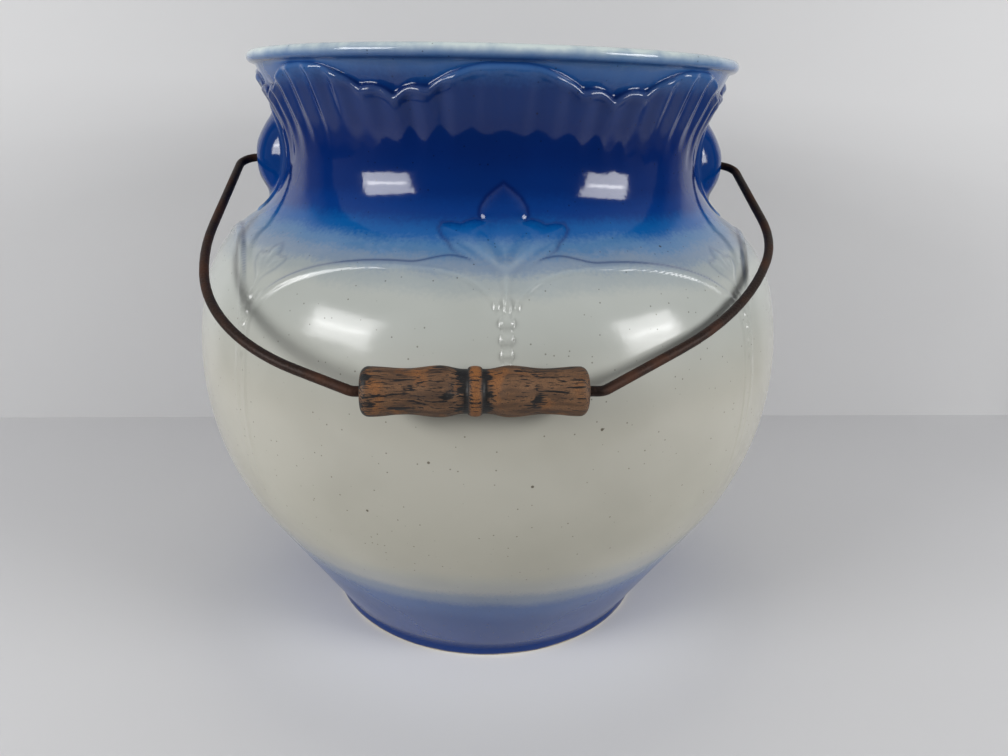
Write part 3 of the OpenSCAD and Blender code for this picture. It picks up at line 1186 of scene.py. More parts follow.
        outside, round_share = self.arch(share, up, radius)
        open_column = (1.0 - eased(*self.gap, share)) * (1.0 - eased(*self.gap_up, up)) * ~on_side
        band = self.band + self.scroll * (1.0 - eased(*self.scroll_to, share)) * ~bare
        lower = eased(*self.full_up, up)
        rib = self.rib_crown * eased(self.rib_end, self.rib_end + self.rib_fade, height)
        crown = self.crown * lower + rib * (1.0 - lower)
        shelf = eased(0.0, 1.7, outside) * (1.0 - eased(band - 0.4, band + 0.9, outside))
        edge = swell(outside - 1.2, 1.0)
        moulding = crown * (0.70 * shelf + 0.40 * edge) * (1.0 - open_column)
        total = np.maximum(moulding, leaf) + 0.35 * np.minimum(moulding, leaf) + beads

        above = eased(-2.0, 4.0, up) * on_leaf
        upper = eased(-12.0, 0.0, up - self.line_drop * (size - 1.0))
        leaf_line = swell(depth + 0.4, self.line_w) * (0.35 + 0.45 * above) * upper
        furrow_line = 0.10 * swell(furrow, 2.4) * eased(0.5, 2.0, depth)
        clear = (depth < 0.0) * (1.0 - eased(0.84, 0.95, share))
        band_line = swell(outside - band - 0.3, self.line_w) * clear * lower
        pooled = np.clip(np.maximum(np.maximum(leaf_line, furrow_line), 0.8 * band_line), 0.0, 1.0)
        thin = 0.11 * eased(0.6, 3.0, np.minimum(depth, furrow)) * (1.0 - eased(-6.0, 13.0, up))
        thin = thin + 0.16 * edge * lower * round_share * (1.0 - open_column)
        return total, thin, pooled * eased(-70.0, -50.0, up)


@dataclass
class Zone:
    """Rows of points round the jar that share their angles.

    Attributes:
        angles: Angles of the columns, in radians, rising from 0.
        radius: Radius of each point.
        height: Height of each point.
        thin: Thinness of the glaze.
        pooled: Pooling of the glaze, and painted shade under the rolled rim.
        inside: 1 inside the jar.
    """

    angles: Array
    radius: Array
    height: Array
    thin: Array | float = 0.0
    pooled: Array | float = 0.0
    inside: Array | float = 0.0

    def points(self) -> Array:
        """Places of the points, (r sin t, -r cos t, z)."""
        turns = np.broadcast_to(self.angles, self.radius.shape)
        return np.stack([self.radius * np.sin(turns), -self.radius * np.cos(turns), self.height], axis=-1)


@dataclass
class Jar:
    """The stoneware jar: foot, belly, shoulder with its relief, fluted petal collar, rim and inside.

    Attributes:
        form: Sizes of the wall.
        ornament: The moulded relief.
        flute_depth: Depth of a flute.
        flute_half: Half the width of a flute.
        flute_from: Height at which the flutes start.
        flute_full: Height at which they are at full depth.
        flute_stray: How much that start strays from flute to flute.
        flute_vary: How much the depth varies from flute to flute, as a part of it.
        edge_round: Rounding of the petals' edge.
        lip_rise: Swelling of the petals just under their edge.
        relief_from: Height at which the fine rows of the relief start.
        relief_to: Height at which they end.
        leaf_rows: Length below the shoulder's end at which the finest rows start.
        roll_turns: Angles of the rows round the rolled rim, from its outer side over its top.
        floor_rise: Height of the round between the inside wall and the floor.
        floor_round: How far that round comes in.
        ring_columns: Columns of the foot and the inside.
        plain_columns: Columns of the belly in each sector.
        fine_columns: Columns of the relief in each sector.
        flute_columns: Columns in a flute.
    """

    form: JarForm
    ornament: Ornament
    flute_depth: float = 1.4
    flute_half: float = 6.1
    flute_from: float = 247.0
    flute_full: float = 278.0
    flute_stray: float = 8.0
    flute_vary: float = 0.35
    edge_round: float = 2.0
    lip_rise: float = 0.55
    relief_from: float = 171.0
    relief_to: float = 245.5
    leaf_rows: float = 27.0
    roll_turns: tuple[float, ...] = (-78, -55, -30, -8, 15, 38, 62, 86, 94, 118, 145, 172)
    floor_rise: float = 5.0
    floor_round: float = 6.0
    ring_columns: int = 96
    plain_columns: tuple[int, ...] = (44, 44, 32, 44)
    fine_columns: tuple[int, ...] = (136, 72, 44, 72)
    flute_columns: int = 9

    def sector_angles(self, counts: Sequence[int], middle: float) -> Array:
        """Angles that lie closest at the middle of each petal: half sector · (m u + (1 - m) u³).

        Args:
            counts: Columns in each sector from the front round, repeated as often as they fit.
            middle: The share m of even spacing, which sets how close they lie at the middle.

        Returns:
            Rising angles in radians, from 0.
        """
        half = math.pi / self.form.petals
        rows = []
        for number in range(self.form.petals):
            count = counts[number % len(counts)]
            even = np.arange(count) * 2.0 / count - 1.0
            rows.append(2.0 * half * number + (middle * even + (1.0 - middle) * even**3) * half)
        return np.sort(np.concatenate(rows) % (2.0 * math.pi))

    def moulded(self, outer: Outline, angles: Array, along: Array) -> Zone:
        """A zone of the wall with its relief raised along the outline's outward direction.

        Args:
            outer: Outline of the wall.
            angles: Angles of the columns.
            along: Lengths along the outline, one for each row.

        Returns:
            The zone.
        """
        rows = np.broadcast_to(along[:, None], (len(along), len(angles)))
        radius, height, out, rise = outer.at(rows)
        turns = np.broadcast_to(angles, rows.shape)
        joint = outer.starts[3]
        lift, thin, pooled = self.ornament.relief(turns, rows - joint, radius, height)
        return Zone(angles, radius + lift * out, height + lift * rise, thin, pooled)

    def foot(self, angles: Array) -> Zone:
        """The underside, the bevel and the upright band of the foot.

        Args:
            angles: Angles of the columns.

        Returns:
            The zone.
        """
        form = self.form
        bevel = form.foot_bevel
        steps = np.array(
            [
                (50.0, 0.0),
                (82.0, 0.0),
                (form.foot_r - 1.6 * bevel, 0.0),
                (form.foot_r - bevel, 0.05),
                (form.foot_r - 0.35 * bevel, 0.35 * bevel),
                (form.foot_r, bevel),
                (form.foot_r + 0.05, 0.55 * form.foot_h),
                (form.foot_r + 0.1, form.foot_h - 0.8),
            ]
        )
        shape = (len(steps), len(angles))
        return Zone(angles, np.broadcast_to(steps[:, :1], shape), np.broadcast_to(steps[:, 1:], shape))

    def collar(self, outer: Outline, angles: Array) -> Zone:
        """The fluted petals, their rounded edge, the bare band and the rolled rim.

        Rows run from the neck up to the scalloped edge, so that they bend with it. A flute is a
        hollow of depth · cos²(π across / 2 half widths). The edge is a quarter of an ellipse from the
        petals down to the band.

        Args:
            outer: Outline of the wall.
            angles: Angles of the columns.

        Returns:
            The zone.
        """
        form = self.form
        lean = math.radians(form.flare)
        start = float(outer.along(self.relief_to)) + 1.2
        edge_z = form.petal_edge(angles)
        edge = outer.starts[4] + (edge_z - outer.at(outer.starts[4:5])[1]) / math.cos(lean)
        share = np.linspace(0.0, 1.0, 23)[:, None]
        along = start + share * (edge - self.edge_round - start)
        turns = np.broadcast_to(angles, along.shape)
        radius, height, out, rise = outer.at(along)
        flutes = form.petals * form.petal_flutes
        pitch = 2.0 * math.pi / flutes
        across = np.abs(nearest(turns, pitch)) * radius / self.flute_half
        draw = np.random.default_rng(17).uniform(-1.0, 1.0, (2, flutes))
        stray, vary = draw[:, np.round(turns / pitch).astype(int) % flutes]
        start_z = self.flute_from + self.flute_stray * stray
        deep = eased(0.0, self.flute_full - self.flute_from, height - start_z)
        deep = deep * (1.0 + self.flute_vary * vary)
        hollow = self.flute_depth * deep * np.square(np.cos(np.clip(across, 0.0, 1.0) * np.pi / 2.0))
        lip = self.lip_rise * eased(-7.0, -1.0, along - edge)
        offset = lip - hollow * (1.0 - 0.35 * eased(-5.0, 0.0, along - edge))
        thin = 0.02 * eased(-3.4, -0.4, along - edge + self.edge_round)
        petals = Zone(angles, radius + offset * out, height + offset * rise, thin)

        bend = np.radians(np.linspace(18.0, 90.0, 5))[:, None]
        along = edge - self.edge_round + self.edge_round * np.sin(bend)
        radius, height, out, rise = outer.at(along)
        drop = offset[-1] * np.cos(bend) - form.petal_proud * (1.0 - np.cos(bend))
        pooled = 0.75 * eased(0.75, 1.0, np.sin(bend))
        round_edge = Zone(angles, radius + drop * out, height + drop * rise, 0.05 * np.cos(bend), pooled)

        climb = np.array([0.12, 0.4, 0.72, 1.0])[:, None]
        foot_r, foot_z = radius[-1] + drop[-1] * out[-1], height[-1] + drop[-1] * rise[-1]
        band_z = foot_z + climb * (form.band_top - 0.5 - foot_z)
        band_r = foot_r + (band_z - band_z[0]) * math.tan(lean)
        fill = swell(band_z - height[-1], 1.4)
        band = Zone(angles, band_r, band_z, 0.08 * climb**3, 0.6 * fill)
        rows = (petals, round_edge, band, self.rim(angles))
        whole = [np.concatenate([np.broadcast_to(getattr(z, part), z.radius.shape) for z in rows])
                 for part in ("radius", "height", "thin", "pooled", "inside")]
        return Zone(angles, *whole)

    def rim(self, angles: Array) -> Zone:
        """The rolled rim: two quarters of a circle with a level top, over which the glaze runs thin, with
        painted shade under the roll.

        Args:
            angles: Angles of the columns.

        Returns:
            The zone.
        """
        form, roll = self.form, self.form.rim_roll_r
        outer_c = form.collar_r(form.band_top, form.petal_proud) + form.rim_out - roll
        inner_c = form.collar_r(form.band_top, form.wall) + roll
        turn = np.array(self.roll_turns, float)[:, None]
        bend = np.radians(turn)
        middle = np.where(turn < 90.0, outer_c, inner_c)
        wander = 0.22 * rolling(angles, 0.0, 7)
        cover = 0.86 + 0.42 * rolling(angles, 0.0, 5)
        return Zone(
            angles,
            middle + roll * np.cos(bend) + wander,
            form.top - roll + roll * np.sin(bend),
            0.06 + 1.04 * eased(-44.0, 56.0, turn) * cover,
            # Painted shade: the underside of the roll is darkened with the pooled tint.
            0.5 * eased(-40.0, -80.0, turn),
            0.5 * eased(100.0, 170.0, turn),
        )

    def hollow(self, angles: Array) -> Zone:
        """The inside, from the rim down the wall and over the floor.

        Args:
            angles: Angles of the columns.

        Returns:
            The zone.
        """
        form = self.form
        inner = form.outline(form.wall, form.floor_t + self.floor_rise, form.band_top)
        along = np.linspace(inner.starts[-1], 0.0, 44)[:, None]
        radius, height, _, _ = inner.at(along)
        bend = np.radians(np.linspace(15.0, 90.0, 5))[:, None]
        foot = float(radius[-1, 0])
        floor_z = form.floor_t + self.floor_rise * (1.0 - np.sin(bend))
        radius = np.concatenate([radius, foot - self.floor_round * (1.0 - np.cos(bend)), [[foot * 0.55]]])
        height = np.concatenate([height, floor_z, [[form.floor_t]]])
        shape = (len(radius), len(angles))
        sprayed = eased(form.band_top - 34.0, form.band_top - 2.0, height)
        return Zone(
            angles,
            np.broadcast_to(radius, shape),
            np.broadcast_to(height, shape),
            0.25 * sprayed,
            0.0,
            1.0 - 0.75 * sprayed,
        )

    def build(self) -> bpy.types.Object:
        """Builds the jar as one closed surface, from the middle of the foot to the middle of the floor.

        Returns:
            The jar.
        """
        form = self.form
        outer = form.outline(0.0, form.foot_h, form.petal_top + 2.0)
        plain = self.sector_angles(self.plain_columns, 0.25)
        fine = self.sector_angles(self.fine_columns, 0.40)
        fluted = full_turn(self.flute_columns * form.petals * form.petal_flutes)
        coarse = full_turn(self.ring_columns)
        middle, end = float(outer.along(self.relief_from)), float(outer.along(self.relief_to))
        leaf = outer.starts[3] - self.leaf_rows
        climb = np.concatenate([np.linspace(middle, leaf, 20, endpoint=False), np.linspace(leaf, end, 72)])
        zones = [
            self.foot(coarse),
            self.moulded(outer, plain, np.linspace(0.0, middle - 2.0, 27)),
            self.moulded(outer, fine, climb),
            self.collar(outer, fluted),
            self.hollow(coarse),
        ]
        surface = Surface("jar")
        poles = [surface.add_points(np.array([[0.0, 0.0, z]])) for z in (0.0, form.floor_t)]
        rings: list[tuple[Array, Array]] = []
        for zone in zones:
            values = {"thin": zone.thin, "pooled": zone.pooled, "inside": zone.inside}
            numbers = surface.add_points(zone.points(), values)
            surface.fill_grid(numbers)
            if rings:
                surface.zip_rings(*rings[-1], numbers[0], zone.angles)
            else:
                surface.cap(numbers[0], int(poles[0][0]), is_end=False)
            rings.append((numbers[-1], zone.angles))
        surface.cap(rings[-1][0], int(poles[1][0]), is_end=True)
        return surface.publish()

    def dress(self, finish: bpy.types.Material) -> bpy.types.Object:
        """Builds the jar, gives it its glaze and sets it in the place of its solid.

        Args:
            finish: The glaze.

        Returns:
            The finished jar.
        """
        jar = self.build()
        jar.data.materials.append(finish)
        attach(jar, Body.JAR.value)
        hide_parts("jar_body")
        return jar


@dataclass
class Ear:
    """An ear: a domed boss with a blind pivot hole, drawn out by hand into a pad on the neck.

    Attributes:
        form: Sizes of the wall that it sits on.
        side: Which side it is on.
        stand: How far its face stands out from the waist.
        dome: Radius of the dome.
        face_r: Radius of the flat face.
        hole_r: Radius of the pivot hole.
        hole_depth: Depth of that hole.
        pad_r: Radius of the pad.
        pad_t: Thickness of the pad.
        pad_edge: Width over which the pad rises from the wall.
        pad_sink: How deep that edge lies in the wall.
        tail: How much further the pad reaches down than to the sides.
        tall: How much taller than wide the dome is round its face.
        sink: How deep its back lies in the wall.
        fillet: Width of the soft join of the dome and the pad.
        columns: Points round the pivot.
    """

    form: JarForm
    side: Side
    stand: float = 15.0
    dome: float = 23.0
    face_r: float = 10.5
    hole_r: float = 2.4
    hole_depth: float = 12.0
    pad_r: float = 25.4
    pad_t: float = 1.5
    pad_edge: float = 1.9
    pad_sink: float = 0.25
    tail: float = 3.6
    tall: float = 1.2
    sink: float = 2.0
    fillet: float = 5.0
    columns: int = 96

    def wall(self, outer: Outline, across: Array, up: Array) -> Array:
        """Distance of the wall from the middle plane, sqrt(R(z)² - y²)."""
        radius = outer.radius(self.form.pivot_z + up)
        return np.sqrt(np.maximum(np.square(radius) - np.square(across), 1.0))

    def build(self) -> bpy.types.Object:
        """Builds the ear as rings round the pivot, from the bottom of the hole to a cap in the wall.

        Outside the hole a ring's distance from the middle plane is a soft maximum of the dome, a
        sphere with a flat face, and the wall with the pad on it.

        Returns:
            The ear.
        """
        form = self.form
        outer = form.outline(0.0, form.foot_h, form.petal_top + 2.0)
        face_x = form.neck_r + self.stand
        dome_x = face_x - math.sqrt(self.dome**2 - self.face_r**2)
        turns = full_turn(self.columns)
        stretch = 1.0 + self.tail / self.pad_r * eased(0.2, 1.0, -np.cos(turns))
        on_face = np.linspace(self.hole_r + 0.5, self.face_r, 7)
        spread = np.concatenate([on_face, np.linspace(self.face_r + 0.8, self.pad_r, 24)])
        away = spread[:, None] * (1.0 + (stretch - 1.0) * eased(14.0, self.pad_r, spread)[:, None])
        tall = 1.0 + (self.tall - 1.0) * eased(self.face_r, self.dome, spread)[:, None]
        across, up = away * np.sin(turns), away * np.cos(turns) * tall
        ball = dome_x + np.sqrt(np.maximum(self.dome**2 - np.square(spread), 0.0))[:, None]
        ball = np.minimum(ball, face_x - 0.25 * eased(self.face_r - 2.5, self.face_r + 1.0, spread)[:, None])
        ball = np.where(spread[:, None] > self.dome - 0.3, dome_x - 12.0, ball)
        edge = (self.pad_r - spread)[:, None]
        raised = (self.pad_t + self.pad_sink) * eased(0.0, self.pad_edge, edge) - self.pad_sink
        pad = self.wall(outer, across, up) + raised
        gap = np.clip(0.5 + 0.5 * (ball - pad) / self.fillet, 0.0, 1.0)
        body = pad + (ball - pad) * gap + self.fillet * gap * (1.0 - gap)
        body = np.minimum(body, face_x + 0.4)
        wave = 0.18 * rolling(turns, 0.0, 11 + self.side.value)
        body = body + wave * eased(12.0, 20.0, spread)[:, None]

        hole = np.array([(0.8, 0.0), (0.95, 0.02), (1.0, 0.12), (1.0, 0.5), (1.0, 0.93), (1.09, 0.985)])
        hole_r = (self.hole_r * hole[:, :1]) + np.zeros_like(turns)
        hole_x = face_x - self.hole_depth * (1.0 - hole[:, 1:]) + np.zeros_like(turns)
        back = np.array([1.0, 0.72, 0.36])[:, None] * away[-1]
        back_across, back_up = back * np.sin(turns), back * np.cos(turns) * self.tall
        back_x = self.wall(outer, back_across, back_up) - self.sink
        rows_x = np.concatenate([hole_x, body, back_x])
        rows_y = np.concatenate([hole_r * np.sin(turns), across, back_across])
        rows_z = np.concatenate([hole_r * np.cos(turns), up, back_up])
        worn = 0.01 * swell(spread[:, None] - self.face_r, 2.0) + 0.02 * swell(edge - 1.4, 1.2)
        filled = 0.40 * swell(edge, 0.8) + 0.55 * swell(spread[:, None] - self.hole_r, 1.0)
        unseen = np.zeros_like(back_x)
        thin = np.concatenate([np.zeros_like(hole_r), np.broadcast_to(worn, body.shape), unseen])
        pooled = np.concatenate([np.full_like(hole_r, 0.85), np.broadcast_to(filled, body.shape), unseen])
        sign = float(self.side.value)
        points = np.stack([sign * rows_x, sign * rows_y, form.pivot_z + rows_z], axis=-1)
        surface = Surface(f"ear_{self.side.name.lower()}_glazed")
        ends = np.array(
            [
                (sign * (face_x - self.hole_depth), 0.0, form.pivot_z),
                (sign * (float(outer.radius(form.pivot_z)) - self.sink), 0.0, form.pivot_z),
            ]
        )
        surface.fill_tube(points[:, ::-1], ends, {"thin": thin[:, ::-1], "pooled": pooled[:, ::-1]})
        return surface.publish()

    def dress(self, finish: bpy.types.Material) -> bpy.types.Object:
        """Builds the ear, glazes it and sets it in the place of its solid.

        Args:
            finish: The glaze.

        Returns:
            The finished ear.
        """
        ear = self.build()
        ear.data.materials.append(finish)
        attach(ear, Body.JAR.value)
        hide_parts(f"ear_{self.side.name.lower()}")
        return ear


@dataclass(frozen=True)
class Bend:
    """A bend in a leg of the bail.

    Attributes:
        run: Straight wire before it, as a part of the size of the bail's bends.
        radius: Its radius, as a part of that size.
        angle: Its angle.
    """

    run: float
    radius: float
    angle: float


@dataclass
class Bail:
    """The bail: one wire, bent by hand, from a hole in one ear to a hole in the other.

    Attributes:
        form: Sizes of the jar.
        wire_d: Diameter of the wire.
        reach: Distance from the pivot to the grip's axis.
        rest_d: Thickness of the grip where it rests on the belly.
        rest_room: Room between the grip and the belly.
        ear_stand: How far an ear's face stands out from the waist.
        hole_depth: Depth of the hole in an ear.
        end_room: Room between the wire's end and the bottom of its hole.
        elbow_run: Straight wire between an ear and its elbow.
        elbow_r: Radius of the elbow.
        bend_size: Size of the bends, of which their runs and radii are parts.
        left: Bends of the left leg, from the ear down.
        right: Bends of the right leg, from the ear down.
        bend_step: Angle of one step along a bend.
        run_step: Length of one step along straight wire.
        columns: Points round the wire.
    """

    form: JarForm
    wire_d: float = 4.0
    reach: float = 175.0
    rest_d: float = 18.8
    rest_room: float = 0.4
    ear_stand: float = 15.0
    hole_depth: float = 12.0
    end_room: float = 1.0
    elbow_run: float = 0.9
    elbow_r: float = 8.6
    bend_size: float = 175.0
    left: tuple[Bend, ...] = (Bend(0, 0.857, 15), Bend(0, 0.537, 47), Bend(0.131, 0.04, 28))
    right: tuple[Bend, ...] = (Bend(0, 0.461, 27), Bend(0, 0.943, 28), Bend(0.2217, 0.04, 35))
    bend_step: float = 3.0
    run_step: float = 6.0
    columns: int = 20

    @property
    def leg_x(self) -> float:
        """Distance of a leg's straight part from the middle plane."""
        return self.form.neck_r + self.ear_stand + self.elbow_run + self.elbow_r

    @property
    def stub(self) -> float:
        """Length of the level wire from its end to the elbow."""
        return self.hole_depth - self.end_room + self.elbow_run

    @property
    def hang(self) -> float:
        """Angle below level at which the grip lies against the belly's curve."""
        form = self.form
        over, up = form.belly_c[0], form.pivot_z - form.belly_c[1]
        stand = form.belly_curve + self.rest_d / 2 + self.rest_room
        away = math.hypot(over, up)
        corner = (self.reach**2 + away**2 - stand**2) / (2.0 * self.reach * away)
        return math.degrees(math.atan2(up, over) - math.acos(corner))

    def taken(self, bends: Sequence[Bend]) -> tuple[float, float]:
        """What a leg's bends take up down the leg and inwards.

        Args:
            bends: Bends of the leg.

        Returns:
            The length down the leg and the length inwards.
        """
        turned = np.radians(np.concatenate([[0.0], np.cumsum([b.angle for b in bends])]))
        runs = self.bend_size * np.array([b.run for b in bends])
        radii = self.bend_size * np.array([b.radius for b in bends])
        down = runs * np.cos(turned[:-1]) + radii * np.diff(np.sin(turned))
        inwards = runs * np.sin(turned[:-1]) - radii * np.diff(np.cos(turned))
        return float(down.sum()), float(inwards.sum())

    def run_ends(self) -> tuple[float, float]:
        """Where the straight run that carries the grip starts on the left and ends on the right."""
        return self.taken(self.left)[1] - self.leg_x, self.leg_x - self.taken(self.right)[1]

    def parts(self, bend: Bend) -> list[tuple[float, float]]:
        """The straight run of a bend and the bend itself, as lengths and the angles that they turn."""
        curve = self.bend_size * bend.radius * math.radians(bend.angle)
        return [(self.bend_size * bend.run, 0.0), (curve, bend.angle)]

    def stretches(self) -> list[tuple[float, float]]:
        """The wire from the right ear to the left one, as lengths and the angles that they turn.

        Returns:
            A length and an angle for each stretch, with an angle of 0 for a straight one.
        """
        elbow = (self.elbow_r * math.pi / 2.0, 90.0)
        leg = {side: self.reach - self.elbow_r - self.taken(bends)[0]
               for side, bends in ((Side.LEFT, self.left), (Side.RIGHT, self.right))}
        down = [part for bend in self.right for part in self.parts(bend)]
        up = [part for bend in reversed(self.left) for part in reversed(self.parts(bend))]
        low, high = self.run_ends()
        row = [(self.stub, 0.0), elbow, (leg[Side.RIGHT], 0.0), *down, (high - low, 0.0), *up]
        row += [(leg[Side.LEFT], 0.0), elbow, (self.stub, 0.0)]
        return [part for part in row if part[0] > 0.0]

    def path(self) -> tuple[Array, Array]:
        """The wire's middle line in the bail's own plane.

        The heading turns evenly along each bend, and the line is the sum of short steps along the
        heading halfway through each step.

        Returns:
            Places, as across and down, and headings in radians.
        """
        rows = self.stretches()
        counts = [
            max(3, int(abs(angle) / self.bend_step)) if angle else max(2, int(length / self.run_step))
            for length, angle in rows
        ]
        steps = np.concatenate([np.full(n, length / n) for n, (length, _) in zip(counts, rows)])
        turns = np.concatenate([np.full(n, math.radians(a) / n) for n, (_, a) in zip(counts, rows)])
        heading = np.concatenate([[0.0], np.cumsum(turns)])
        chords = steps * np.sinc(turns / 2.0 / np.pi)
        middle = (heading[:-1] + heading[1:]) / 2.0
        moves = chords[:, None] * np.stack([np.cos(middle), np.sin(middle)], axis=-1)
        first = np.array([[self.leg_x - self.elbow_r - self.stub, 0.0]])
        return np.concatenate([first, first + np.cumsum(moves, axis=0)]), heading

    def hung(self, across: Array, down: Array, out: Array) -> Array:
        """Turns places in the bail's plane to where it rests on the front of the jar.

        Args:
            across: Places along X.
            down: Distances down the bail from its pivot.
            out: Distances out of its plane.

        Returns:
            Places in the frame of the jar.
        """
        angle = math.radians(self.hang)
        back = -down * math.cos(angle) - out * math.sin(angle)
        rise = self.form.pivot_z - down * math.sin(angle) + out * math.cos(angle)
        return np.stack([across, back, rise], axis=-1)

    def build(self) -> bpy.types.Object:
        """Builds the wire: a circle carried along its path, a little uneven, with rounded ends.

        Returns:
            The wire.
        """
        middle, heading = self.path()
        ends = np.array([0.35, 0.75, 0.95])
        caps = np.array([0.0, 0.10, 0.30])
        middle = np.concatenate([middle[:1] + caps[:, None] * [[1.0, 0.0]], middle[1:-1],
                                 middle[-1:] + caps[::-1, None] * [[1.0, 0.0]]])
        heading = np.concatenate([np.zeros(3), heading[1:-1], np.full(3, math.pi)])
        width = np.concatenate([ends, np.ones(len(middle) - 6), ends[::-1]])
        turns = full_turn(self.columns)
        walk = np.linspace(0.0, 90.0, len(middle))[:, None]
        rough = 1.0 + 0.012 * rolling(np.broadcast_to(turns, (len(middle), len(turns))), walk, 3)
        radius = self.wire_d / 2.0 * width[:, None] * rough
        side = np.stack([np.sin(heading), -np.cos(heading)], axis=-1)
        across = middle[:, :1] + radius * np.cos(turns) * side[:, :1]
        down = middle[:, 1:] + radius * np.cos(turns) * side[:, 1:]
        surface = Surface("bail_wire_bent")
        poles = self.hung(middle[[0, -1], 0], middle[[0, -1], 1], np.zeros(2))
        surface.fill_tube(self.hung(across, down, radius * np.sin(turns)), poles)
        return surface.publish()

    def dress(self, finish: bpy.types.Material) -> bpy.types.Object:
        """Builds the wire, rusts it and sets it in the place of its solid.

        Args:
            finish: The rusted iron.

        Returns:
            The finished wire.
        """
        wire = self.build()
        wire.data.materials.append(finish)
        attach(wire, Body.BAIL.value)
        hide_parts("bail_wire")
        return wire


@dataclass
class Grip:
    """The turned wooden grip on the bail.

    Attributes:
        bail: The bail that carries it.
        length: Its length.
        swell_d: Diameter at the swellings beside the middle bead.
        bead_d: Diameter of the bead.
        bead_w: Width of the bead.
        groove_d: Diameter at the bottom of the grooves beside it.
        groove_w: Width of a groove's floor.
        waist_d: Diameter at the waists.
        end_d: Diameter near the ends.
        swell_at: Distance from the middle to a swelling.
        waist_at: Distance from the middle to a waist.
        end_round: Rounding of the ends.
        bore_room: Radial room of the wire in the bore.
        slide: How far it has slid from the middle of the wire's straight run.
        columns: Points round it.
    """

    bail: Bail
    length: float = 82.0
    swell_d: float = 18.8
    bead_d: float = 18.4
    bead_w: float = 5.4
    groove_d: float = 16.2
    groove_w: float = 1.2
    waist_d: float = 16.7
    end_d: float = 18.2
    swell_at: float = 12.5
    waist_at: float = 25.0
    end_round: float = 3.0
    bore_room: float = 0.4
    slide: float = -1.2
    columns: int = 72

    @property
    def bore_r(self) -> float:
        """Radius of the bore."""
        return self.bail.wire_d / 2 + self.bore_room

    def half_outline(self) -> tuple[Array, Array]:
        """Half the outline, from the middle of the bead to the bore at one end.

        The bead is a quarter of an ellipse, the swellings and waists join by half waves of a cosine,
        and the end is a quarter of a circle.

        Returns:
            Lengths from the middle and radii.
        """
        turn = np.linspace(0.0, np.pi / 2.0, 7)
        bead_d = self.groove_d + (self.bead_d - self.groove_d) * np.cos(turn)
        bead = self.bead_w / 2 * np.sin(turn), bead_d / 2
        groove_end = self.bead_w / 2 + self.groove_w
        last = self.length / 2 - self.end_round
        stations = [(groove_end, self.groove_d), (self.swell_at, self.swell_d),
                    (self.waist_at, self.waist_d), (last, self.end_d)]
        share = np.arange(1, 15) / 14.0
        wave = (1.0 - np.cos(np.pi * share)) / 2.0
        waves = [(a[0] + (b[0] - a[0]) * share, (a[1] + (b[1] - a[1]) * wave) / 2)
                 for a, b in zip(stations, stations[1:])]
        end_r = self.end_d / 2 - self.end_round * (1 - np.cos(turn[1:]))
        round_end = last + self.end_round * np.sin(turn[1:]), end_r
        parts = [bead, ([groove_end], [self.groove_d / 2]), *waves, round_end,
                 ([self.length / 2, self.length / 2 - 0.5], [self.bore_r + 0.9, self.bore_r])]
        return np.concatenate([p[0] for p in parts]), np.concatenate([p[1] for p in parts])

    def build(self) -> bpy.types.Object:
        """Builds the grip: its outline turned about the wire, with worn dents, and its bore.

        Returns:
            The grip.
        """
        half_x, half_r = self.half_outline()
        along = np.concatenate([-half_x[:0:-1], half_x])
        radius = np.concatenate([half_r[:0:-1], half_r])
        turns = full_turn(self.columns)
        grid = np.broadcast_to(turns, (len(along), len(turns)))
        outside = (radius > self.bore_r + 0.5).astype(float)[:, None]
        walk = along[:, None] / 6.0
        worn = 0.10 * rolling(grid, walk, 21, 9) + 0.05 * rolling(grid * 3.0, walk * 3.1, 22, 9)
        wide = radius[:, None] + np.minimum(worn, 0.08) * outside
        low, high = self.bail.run_ends()
        middle = (low + high) / 2 + self.slide
        points = self.bail.hung(
            middle + along[:, None] + np.zeros_like(grid),
            self.bail.reach + wide * np.cos(turns),
            wide * np.sin(turns),
        )
        from_bead = np.abs(along) - (self.bead_w / 2 + self.groove_w / 2)
        groove = np.clip(1.9 * swell(from_bead, 1.0), 0.0, 1.0)
        ends = eased(31.0, 41.0, np.abs(along)) * 0.09
        rubbed = 0.75 * (1.0 - eased(1.4, 2.6, np.abs(along)))
        paint = ends + 0.20 * swell(from_bead - 1.5, 2.6) + 0.08 * eased(-18.0, -26.0, along) - 0.03
        surface = Surface("grip_turned")
        shape = wide.shape
        rows = {"groove": groove, "paint": paint, "rubbed": rubbed}
        values = {name: np.broadcast_to(row[:, None], shape) for name, row in rows.items()}
        numbers = surface.add_points(points, values)
        surface.fill_grid(numbers, close_rows=True)
        return surface.publish()

    def dress(self, finish: bpy.types.Material) -> bpy.types.Object:
        """Builds the grip, gives it its wood and sets it in the place of its solid.

        Args:
            finish: The worn wood.

        Returns:
            The finished grip.
        """
        grip = self.build()
        grip.data.materials.append(finish)
        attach(grip, Body.GRIP.value)
        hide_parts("grip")
        return grip


